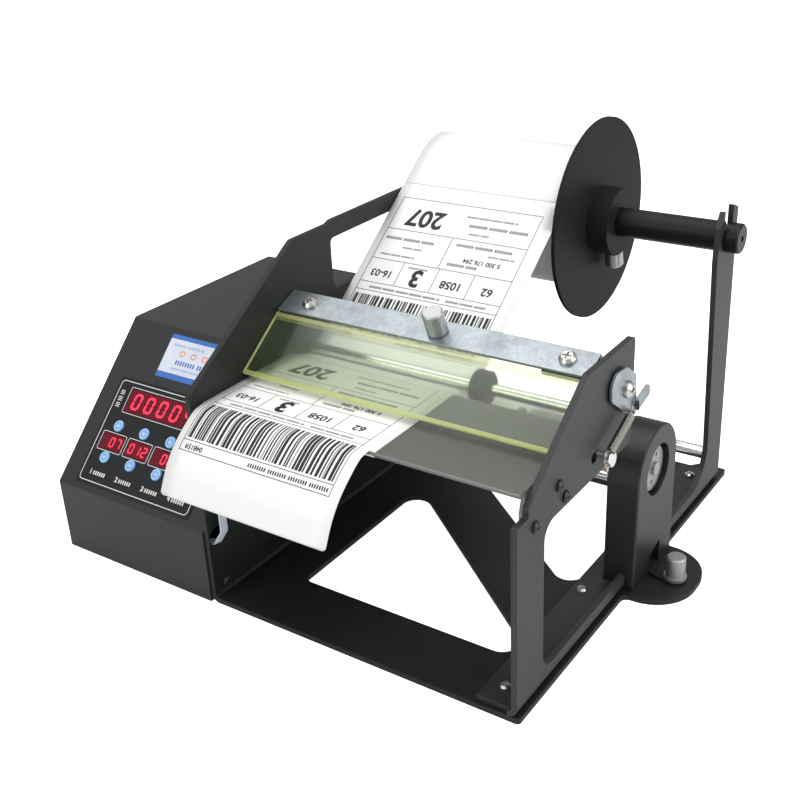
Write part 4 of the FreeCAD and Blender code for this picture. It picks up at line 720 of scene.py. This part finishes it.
def web_strip(name, across, along, lift, thickness, slot_name, finish, rounded=False, free_tail=False):
    """Sheet along the web: a grid of x across by s along, put in place by the web's path. Its corners are
    rounded by drawing the end rows in, each by the radius less the height of a circle there."""
    (x0, x1), (s0, s1) = across, along
    rows = int((s1 - s0) / ROW_STEP) + 2
    s = np.linspace(s0, s1, rows)
    short = np.maximum(0, CORNER_R - np.minimum(s - s0, s1 - s))
    inset = CORNER_R - np.sqrt(CORNER_R ** 2 - short ** 2) if rounded else np.zeros(rows)
    t = np.linspace(0, 1, ACROSS)
    xx = (x0 + inset)[:, None] * (1 - t)[None, :] + (x1 - inset)[:, None] * t[None, :]
    points = WEB.place(xx.ravel(), np.repeat(s, ACROSS), lift, free_tail)
    piece = add_piece(name, points, grid_faces(rows, ACROSS), "frame", finish)
    return thicken(piece, thickness)


def label_marks():
    """Frame, rules and bars of one label, in millimetres from its leading left corner."""
    marks = outline_box(*FRAME_U, *FRAME_V, LINE_WIDTH)
    marks += [bar(*FRAME_U, v, v + LINE_WIDTH) for v in RULES]
    marks += [bar(u, u + LINE_WIDTH, v0, v1) for u, v0, v1 in UPRIGHTS]
    return marks + bar_code(*BAR_AREA)


def made_up(k):
    """Number from 0 to 1 that jumps about with k: the fraction of a large multiple of a sine."""
    return (math.sin(k * 12.9898) * 43758.5453) % 1.0


def bar_code(u0, u1, v0, v1):
    """Upright bars with made-up widths and gaps."""
    marks, u, k = [], u0, 0
    while u < u1:
        thick = BAR_STEP * (1 + int(4 * made_up(k)))
        gap = BAR_STEP * (1 + int(3 * made_up(k + 0.5)))
        marks.append(bar(u, min(u + thick, u1), v0, v1))
        u += thick + gap
        k += 1
    return marks


def dashes(u0, u1, v, height):
    """A row of even upright dashes where small lettering would be, in groups."""
    marks, u, k = [], u0, 0
    while u < u1:
        marks.append(bar(u, u + DASH_W * height, v, v + height))
        k += 1
        u += height * (DASH_STEP if k % GROUP else GROUP_STEP)
    return marks


def numerals():
    """Plain numbers with their middles at u, v, turned half round to be read from the reel's side."""
    marks = []
    for body, size, weight, u, v in NUMBERS:
        flat, faces = text_shape(body, size, weight)
        marks.append((np.array([u, v]) - flat, faces))
    return marks


def print_label(name, leading_edge, free_tail):
    """Ink of a whole label: marks moved to the label's place along the web and laid on its surface."""
    rows = [mark for row in DASH_ROWS for mark in dashes(*row)]
    points, faces = join_parts(label_marks() + rows + numerals())
    x = WEB.x0 + LABEL_INSET + points[:, 0]
    placed = WEB.place(x, leading_edge + points[:, 1], LABEL_LIFT + INK_LIFT, free_tail)
    piece = add_piece(name, placed, faces, "frame", INK, smooth=False)
    return thicken(piece, INK_T)


def build_web():
    """Liner from the peel edge to the roll, the label coming off it, the next one and the one after."""
    across = (WEB.x0 + LABEL_INSET, WEB.x0 + LABEL_INSET + LABEL_WIDTH)
    top_of_roll = float(WEB.length[-1])
    second, third = LABEL_TAIL + LABEL_PITCH, LABEL_TAIL + 2 * LABEL_PITCH
    label = (LABEL_LIFT, LABEL_T, "label_paper", LABEL_PAPER)
    liner = (0.0, LINER_T, "liner_paper", LINER_PAPER)
    web = web_strip("web_liner", (WEB.x0, WEB.x1), (0.0, top_of_roll), *liner)
    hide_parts("label_web")
    first = (LABEL_TAIL, LABEL_TAIL + LABEL_LENGTH)
    peeled = web_strip("label_coming_off", across, first, *label, rounded=True, free_tail=True)
    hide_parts("peeled_label")
    web_strip("next_label", across, (second, second + LABEL_LENGTH), *label, rounded=True)
    web_strip("label_on_roll", across, (third, top_of_roll), *label)
    print_label("peeled_label_ink", LABEL_TAIL, True)
    print_label("next_label_ink", second, False)


# The control panel

OVERLAY_LOW, OVERLAY_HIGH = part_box("panel_overlay")
RISE = np.array([0.0, OVERLAY_HIGH.y - OVERLAY_LOW.y, OVERLAY_HIGH.z - OVERLAY_LOW.z])
SLOPE = RISE / np.linalg.norm(RISE)
OUT = np.array([0.0, -SLOPE[2], SLOPE[1]])
PANEL_FOOT = np.array([0.0, OVERLAY_LOW.y, OVERLAY_LOW.z + OVERLAY_T * MM * SLOPE[1]])


def on_panel(x, v, lift):
    """Points in metres on the slanted panel: x across in metres, v up the slope from the overlay's lower
    edge in millimetres, lift outwards from its face."""
    x, v = np.asarray(x, float), np.asarray(v, float)
    flat = PANEL_FOOT[None, :] + v[:, None] * MM * SLOPE[None, :] + lift * MM * OUT[None, :]
    flat[:, 0] = x
    return flat


def panel_print(name, marks, lift, body, finish):
    """Flat marks given as (u, v) in millimetres from the overlay's lower left corner."""
    points, faces = join_parts(marks)
    placed = on_panel(OVERLAY_LOW.x + points[:, 0] * MM, points[:, 1], lift)
    piece = add_piece(name, placed, faces, body, finish, smooth=False)
    return thicken(piece, PRINT_T)


def round_box(u0, u1, v0, v1, radius, width):
    """Band along a rectangle with rounded corners: two closed rings of the same points, one inset."""
    quarters = np.arange(4) * np.pi / 2
    turn = np.concatenate([np.linspace(a, a + np.pi / 2, CORNER_POINTS) for a in quarters])
    mid_u = np.repeat([u1 - radius, u0 + radius, u0 + radius, u1 - radius], CORNER_POINTS)
    mid_v = np.repeat([v1 - radius, v1 - radius, v0 + radius, v0 + radius], CORNER_POINTS)
    rings = [np.stack([mid_u + r * np.cos(turn), mid_v + r * np.sin(turn)], axis=1)
             for r in (radius, radius - width)]
    return np.concatenate(rings), grid_faces(2, len(turn), closed=True)[:, ::-1]


def segment(u0, v0, u1, v1, width):
    """Six-sided bar between two points, pointed at both ends."""
    a, b = np.array([u0, v0], float), np.array([u1, v1], float)
    along = (b - a) / np.linalg.norm(b - a)
    side = np.array([-along[1], along[0]]) * width / 2
    tip = along * width / 2
    corners = np.array([a, a + tip + side, b - tip + side, b, b - tip - side, a + tip - side])
    return corners[::-1], [list(range(6))]


def digit(character, u, v, wide, tall):
    """One seven-segment figure with its lower left corner at u, v, leaning as it goes up."""
    width, lean = tall * SEGMENT_W, tall * LEAN
    marks = []
    for letter in SEGMENTS[character]:
        a, b, c, d = SEGMENT_ENDS[letter]
        u0, v0 = u + a * wide + b * lean, v + b * tall
        marks.append(segment(u0, v0, u + c * wide + d * lean, v + d * tall, width))
    return marks


def display_digits(window, text, fill):
    """Glowing figures spaced evenly over a display's face, as high as the given share of it."""
    u0, u1, v0, v1 = window
    tall = (v1 - v0) * fill
    cell = (u1 - u0) / (len(text) + CELL_ROOM)
    wide = min(cell * WIDE_IN_CELL, tall * WIDE_BY_TALL)
    marks = []
    for k, character in enumerate(text):
        if character != " ":
            u = u0 + cell * (k + CELL_START) + (cell - wide) / 2 - tall * LEAN_BACK
            marks += digit(character, u, (v0 + v1 - tall) / 2, wide, tall)
    return marks


def panel_points(node):
    """A CAD node's points: across, up the slope and out from the overlay, in millimetres from its corner."""
    mesh = frame["nodes"][node].data
    flat = np.zeros(len(mesh.vertices) * 3)
    mesh.vertices.foreach_get("co", flat)
    points = (flat.reshape(-1, 3) - PANEL_FOOT) / MM
    return points[:, 0] - OVERLAY_LOW.x / MM, points @ SLOPE, points @ OUT


def display_windows(node):
    """Each display as (u0, u1, v0, v1): its points stand in a left and a right group, over 2 mm apart."""
    u, v, out = panel_points(node)
    order = np.argsort(u)
    sides = np.split(order, np.nonzero(np.diff(u[order]) > 2)[0] + 1)
    pairs = [np.concatenate(sides[k:k + 2]) for k in range(0, len(sides), 2)]
    return [(u[p].min(), u[p].max(), v[p].min(), v[p].max()) for p in pairs]


def build_panel():
    """Figures on the displays, then the printed marks, the keys' signs and the sticker."""
    windows = display_windows("main_display") + display_windows("small_displays")
    marks = []
    for window, (text, fill) in zip(windows, READINGS):
        marks += display_digits(window, text, fill)
    panel_print("lit_figures", marks, TOP_LIFT, "frame", LIT_SEGMENT)
    panel_white_marks(windows)
    build_keys()
    build_sticker()


def panel_white_marks(windows):
    """Ruled border, window outlines, plain numbers under the columns, and three bars in three rows."""
    wide = (OVERLAY_HIGH.x - OVERLAY_LOW.x) / MM
    tall = np.linalg.norm(RISE) / MM - OVERLAY_T
    edge, out = BORDER[0], WINDOW[0]
    marks = [round_box(edge, wide - edge, edge, tall - edge, *BORDER[1:])]
    marks += [round_box(u0 - out, u1 + out, v0 - out, v1 + out, *WINDOW[1:]) for u0, u1, v0, v1 in windows]
    size, weight, number_u, number_v = COLUMN_NUMBER
    for k, (u0, u1, v0, v1) in enumerate(windows[1:], 1):
        u = (u0 + u1) / 2
        flat, faces = text_shape(str(k), size, weight)
        marks.append((flat + np.array([u + number_u, number_v]), faces))
        marks += dashes(u + COLUMN_DASHES[0], u + COLUMN_DASHES[1], *COLUMN_DASHES[2:])
    left, right, width = SIDE_BARS
    heights = [group + step for group in SIDE_GROUPS for step in SIDE_STEPS]
    marks += [bar(left, right, v, v + width) for v in heights]
    panel_print("white_panel_marks", marks, PRINT_LIFT, "frame", WHITE_PRINT)


def build_keys():
    """A pale ring, a painted highlight on the key's rim, and a sign on each key, which travel with it."""
    for sign in ("plus", "minus"):
        for k in range(1, 5):
            across, up, out = panel_points(f"button_{sign}_{k}")
            u, v = (across.min() + across.max()) / 2, (up.min() + up.max()) / 2
            proud = out.max() + TOP_LIFT
            # Pale ring at the key's edge: painted highlight on its rim
            ring = ring_marks(u, v, *KEY_RIM_HIGHLIGHT_RADII)
            arms = [bar(u - SIGN_ARM, u + SIGN_ARM, v - SIGN_W, v + SIGN_W)]
            if sign == "plus":
                arms.append(bar(u - SIGN_W, u + SIGN_W, v - SIGN_ARM, v - SIGN_W))
                arms.append(bar(u - SIGN_W, u + SIGN_W, v + SIGN_W, v + SIGN_ARM))
            body = f"{sign}_{k}"
            panel_print(f"{sign}_ring_{k}", [ring], proud, body, KEY_RIM_HIGHLIGHT)
            panel_print(f"{sign}_sign_{k}", arms, proud, body, WHITE_PRINT)


def ring_marks(u, v, outer, inner):
    """Flat ring: two closed circles of the same turns."""
    turn = np.linspace(0, 2 * np.pi, RING_POINTS, endpoint=False)
    rings = [np.stack([u + r * np.cos(turn), v + r * np.sin(turn)], axis=1) for r in (outer, inner)]
    return np.concatenate(rings), grid_faces(2, RING_POINTS, closed=True)[:, ::-1]


def build_sticker():
    """Generic sticker: blue bands, rows of dashes and three orange rings."""
    across, up, out = panel_points("panel_sticker")
    u0, u1, v0, v1, face = across.min(), across.max(), up.min(), up.max(), out.max() + PRINT_LIFT
    wide, tall = u1 - u0, v1 - v0

    def row(left, right, level, height):
        return dashes(u0 + wide * left, u0 + wide * right, v0 + tall * level, height)

    bands = [bar(u0, u1, v1 - tall * HEAD_BAND, v1), bar(u0, u1, v0, v0 + tall * FOOT_BAND)]
    panel_print("sticker_bands", bands + row(*DARK_ROW), face, "frame", BLUE_PRINT)
    pale = [mark for place in PALE_ROWS for mark in row(*place)]
    panel_print("sticker_rows", pale, face, "frame", PALE_BLUE_PRINT)
    rings = [ring_marks(u0 + wide * part, v0 + tall * RING_V, *RING_RADII) for part in RING_U]
    panel_print("sticker_rings", rings, face, "frame", ORANGE_PRINT)


# The lever and its spring


def filleted(corners):
    """Outline whose corners are arcs tangent to both sides: each arc's centre lies on the corner's
    bisector, at the radius over the sine of half the corner's angle."""
    corners = np.asarray(corners, float)
    tips, radius = corners[:, :2], corners[:, 2]
    back = np.roll(tips, 1, axis=0) - tips
    ahead = np.roll(tips, -1, axis=0) - tips
    back /= np.linalg.norm(back, axis=1)[:, None]
    ahead /= np.linalg.norm(ahead, axis=1)[:, None]
    half = np.arccos(np.clip((back * ahead).sum(axis=1), -1, 1)) / 2
    middle = (back + ahead) / np.linalg.norm(back + ahead, axis=1)[:, None]
    centres = tips + middle * (radius / np.sin(half))[:, None]
    first = tips + back * (radius / np.tan(half))[:, None] - centres
    last = tips + ahead * (radius / np.tan(half))[:, None] - centres
    a0, a1 = np.arctan2(first[:, 1], first[:, 0]), np.arctan2(last[:, 1], last[:, 0])
    sweep = (a1 - a0 + np.pi) % (2 * np.pi) - np.pi
    angle = a0[:, None] + sweep[:, None] * np.linspace(0, 1, ARC_POINTS)
    arcs = radius[:, None, None] * np.stack([np.cos(angle), np.sin(angle)], axis=2)
    return (centres[:, None, :] + arcs).reshape(-1, 2)


def slab(outline, x0, x1):
    """Prism: one outline at two values of x, joined by a row of quads and closed by a face at each end."""
    n = len(outline)
    points = np.concatenate([np.column_stack([np.full(n, x), outline]) for x in (x0, x1)])
    faces = [[k, (k + 1) % n, n + (k + 1) % n, n + k] for k in range(n)]
    return points, faces + [list(range(n))[::-1], list(range(n, 2 * n))]


def spring_line():
    """The spring's x and the centres of its two pins in the YZ plane, in millimetres: the top one from the
    reach of the solid's eye, the lower one also from the shaft's height."""
    low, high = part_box("tension_spring")
    shaft_low, shaft_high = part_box("pinch_shaft")
    low_pin = np.array([low.y / MM + LOW_HOOK_R + SOLID_WIRE_R, (shaft_low.z + shaft_high.z) / 2 / MM])
    top_pin = np.array([high.y, high.z]) / MM - (TOP_HOOK_R + SOLID_WIRE_R)
    return (low.x + high.x) / 2 / MM, low_pin, top_pin


def build_lever():
    """Sheet, jogged finger and grooved spring pin as prisms, moved from the pivot to its place."""
    x, low_pin, top_pin = spring_line()
    pivot = next(joint for joint in frame["joints"] if joint["name"] == "lever_turn")["pos_m"]
    centre = np.array(pivot[1:]) / MM
    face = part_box("pressure_lever")[0].x / MM + SOLID_LEVER_T
    along = (FINGER_TIP - FINGER_ROOT) / np.linalg.norm(FINGER_TIP - FINGER_ROOT)
    side = np.array([-along[1], along[0]]) * FINGER_W / 2
    jog = FINGER_ROOT + along * LEVER_T
    finger = [(*(FINGER_ROOT - side), ROOT_CORNER), (*(FINGER_TIP - side), FINGER_CORNER),
              (*(FINGER_TIP + side), FINGER_CORNER), (*(FINGER_ROOT + side), ROOT_CORNER)]
    foot = (FINGER_ROOT - side, jog - side, jog + side, FINGER_ROOT + side)
    step = [(*corner, ROOT_CORNER) for corner in foot]
    turn = np.linspace(0, 2 * np.pi, PIN_SIDES, endpoint=False)
    circle = np.stack([np.cos(turn), np.sin(turn)], axis=1)
    head_start, head_end = x + TOP_PIN_HEAD[0], x + TOP_PIN_HEAD[1]
    parts = [slab(filleted(LEVER_SHEET), face - LEVER_T, face),
             slab(filleted(step), face - LEVER_T / 2, face + JOG),
             slab(filleted(finger), face + JOG_GAP, face + JOG),
             slab(top_pin - centre + circle * TOP_PIN_NECK_R, face - LEVER_T / 2, head_start + PIN_JOIN),
             slab(top_pin - centre + circle * TOP_PIN_R, head_start, head_end)]
    points, faces = join_parts(parts)
    points[:, 1:] += centre
    piece = add_piece("lever_with_finger", points * MM, faces, "lever", ZINC, False)
    edge = piece.modifiers.new("edge", "BEVEL")
    edge.width = LEVER_EDGE * MM
    edge.segments = 2
    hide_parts("pressure_lever")


def build_spring():
    """Close-wound coil with a hook at each end: the coil is a circle that advances along the line between
    the two pins, and each hook is most of a circle round its pin. The coil and its upper hook make one piece. The
    lower hook ends in a few narrower turns inside the coil and makes the other."""
    x, low_pin, top_pin = spring_line()
    line = top_pin - low_pin
    length = np.linalg.norm(line)
    way = line / length
    side = np.array([-way[1], way[0]])

    def placed(off, along, across):
        """Points off from the spring's plane, along its line from the lower pin and across it."""
        flat = low_pin + np.outer(along, way) + np.outer(across, side)
        return np.column_stack([x + off, flat])

    def hook(pin_at, radius, turned):
        angle = np.linspace(0, HOOK_SWEEP, HOOK_POINTS)
        return placed(np.zeros(HOOK_POINTS), pin_at + turned * radius * np.cos(angle), radius * np.sin(angle))

    start, end = LOW_HOOK_R + HOOK_TO_COIL, length - TOP_HOOK_R - HOOK_TO_COIL
    t = np.linspace(0, 1, COIL_TURNS * TURN_POINTS)
    angle = 2 * np.pi * COIL_TURNS * t
    along = start + (end - start) * t
    coil, narrow = (placed(r * np.sin(angle), along, r * np.cos(angle)) for r in (COIL_R, INNER_R))
    inner = INNER_TURNS * TURN_POINTS
    lower = np.concatenate([hook(0, LOW_HOOK_R, 1)[::-1], narrow[:inner]])
    upper = np.concatenate([coil, hook(length, TOP_HOOK_R, -1)])
    halves = (("spring_lower_hook", lower, "pinch_carriage", along[inner], start),
              ("spring_coil", upper, "lever", start, end))
    for name, path, body, still, reach in halves:
        points, faces = tube(path * MM, SPRING_WIRE_R * MM, WIRE_SIDES)
        piece = add_piece(name, points, faces, None, SPRING_WIRE)
        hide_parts("tension_spring")
        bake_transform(piece)


# Studio


def build_floor():
    """Pale floor that is white for the camera, for gloss and through clear parts, and keeps the shadow."""
    mesh = bpy.data.meshes.new("floor")
    corners = ((-1, -1), (1, -1), (1, 1), (-1, 1))
    mesh.from_pydata([(x * FLOOR_HALF, y * FLOOR_HALF, FLOOR_Z) for x, y in corners], [], [(0, 1, 2, 3)])
    floor = bpy.data.objects.new("floor", mesh)
    bpy.context.scene.collection.objects.link(floor)
    material, tree, surface = new_material("studio_floor", (0.78, 0.78, 0.78), 0.9, 0.0, 0.0)
    ray = add_node(tree, "LightPath").outputs
    gloss = math_node(tree, "MULTIPLY", ray["Is Glossy Ray"], FLOOR_IN_GLOSS)
    seen = math_node(tree, "MAXIMUM", ray["Is Camera Ray"], gloss)
    glow = math_node(tree, "MAXIMUM", seen, ray["Is Transmission Ray"])
    feed(tree, surface, Emission_Color=(1, 1, 1, 1), Emission_Strength=glow)
    mesh.materials.append(material)


def build_world():
    """White for the camera and through clear parts; for all other light a grey sky, brighter overhead."""
    world = bpy.data.worlds.new("studio")
    bpy.context.scene.world = world
    world.use_nodes = True
    tree = world.node_tree
    ray = add_node(tree, "LightPath").outputs
    white = math_node(tree, "MAXIMUM", ray["Is Camera Ray"], ray["Is Transmission Ray"])
    up = split_axes(tree, add_node(tree, "TexCoord").outputs["Generated"])["Z"]
    level = spread(tree, white, spread(tree, up, SKY_SIDE, SKY_TOP), 1.0)
    feed(tree, tree.nodes["Background"], Color=(1, 1, 1, 1), Strength=level)


def add_light(name, place, size, power):
    """Rectangular softbox that looks at the object's middle."""
    light = bpy.data.lights.new(name, "AREA")
    light.shape = "RECTANGLE"
    light.size, light.size_y = size
    light.energy = power
    holder = bpy.data.objects.new(name, light)
    bpy.context.scene.collection.objects.link(holder)
    holder.location = place
    aim = Vector(LIGHTS_LOOK_AT) - Vector(place)
    holder.rotation_euler = aim.to_track_quat("-Z", "Y").to_euler()


def build_camera():
    """Camera whose axes come from its heading, its downward tilt and its roll."""
    heading, drop, roll = (math.radians(a) for a in (CAMERA_AZIMUTH, CAMERA_DROP, CAMERA_ROLL))
    right = Vector((math.cos(heading), math.sin(heading), 0))
    ahead = Vector((-math.sin(heading) * math.cos(drop), math.cos(heading) * math.cos(drop), -math.sin(drop)))
    up = right.cross(ahead)
    side = right * math.cos(roll) + up * math.sin(roll)
    top = up * math.cos(roll) - right * math.sin(roll)
    turn = Matrix((side, top, -ahead)).transposed().to_4x4()
    lens = bpy.data.cameras.new("camera")
    lens.lens = CAMERA_LENS
    lens.sensor_width = CAMERA_SENSOR
    lens.clip_start = 0.01
    camera = bpy.data.objects.new("camera", lens)
    bpy.context.scene.collection.objects.link(camera)
    camera.matrix_world = Matrix.Translation(CAMERA_AT) @ turn
    bpy.context.scene.camera = camera


dress_cad_nodes()
build_web()
build_panel()
build_spring()
build_lever()
build_floor()
build_world()
add_light("top_softbox", (-0.2, -0.1, 1.5), (1.8, 1.6), 14)
add_light("right_softbox", (1.5, 0.1, 0.8), (1.2, 1.2), 12)
add_light("front_softbox", (-0.6, -1.5, 0.9), (1.2, 1.0), 5)
build_camera()
bpy.context.scene.view_settings.view_transform = "Standard"
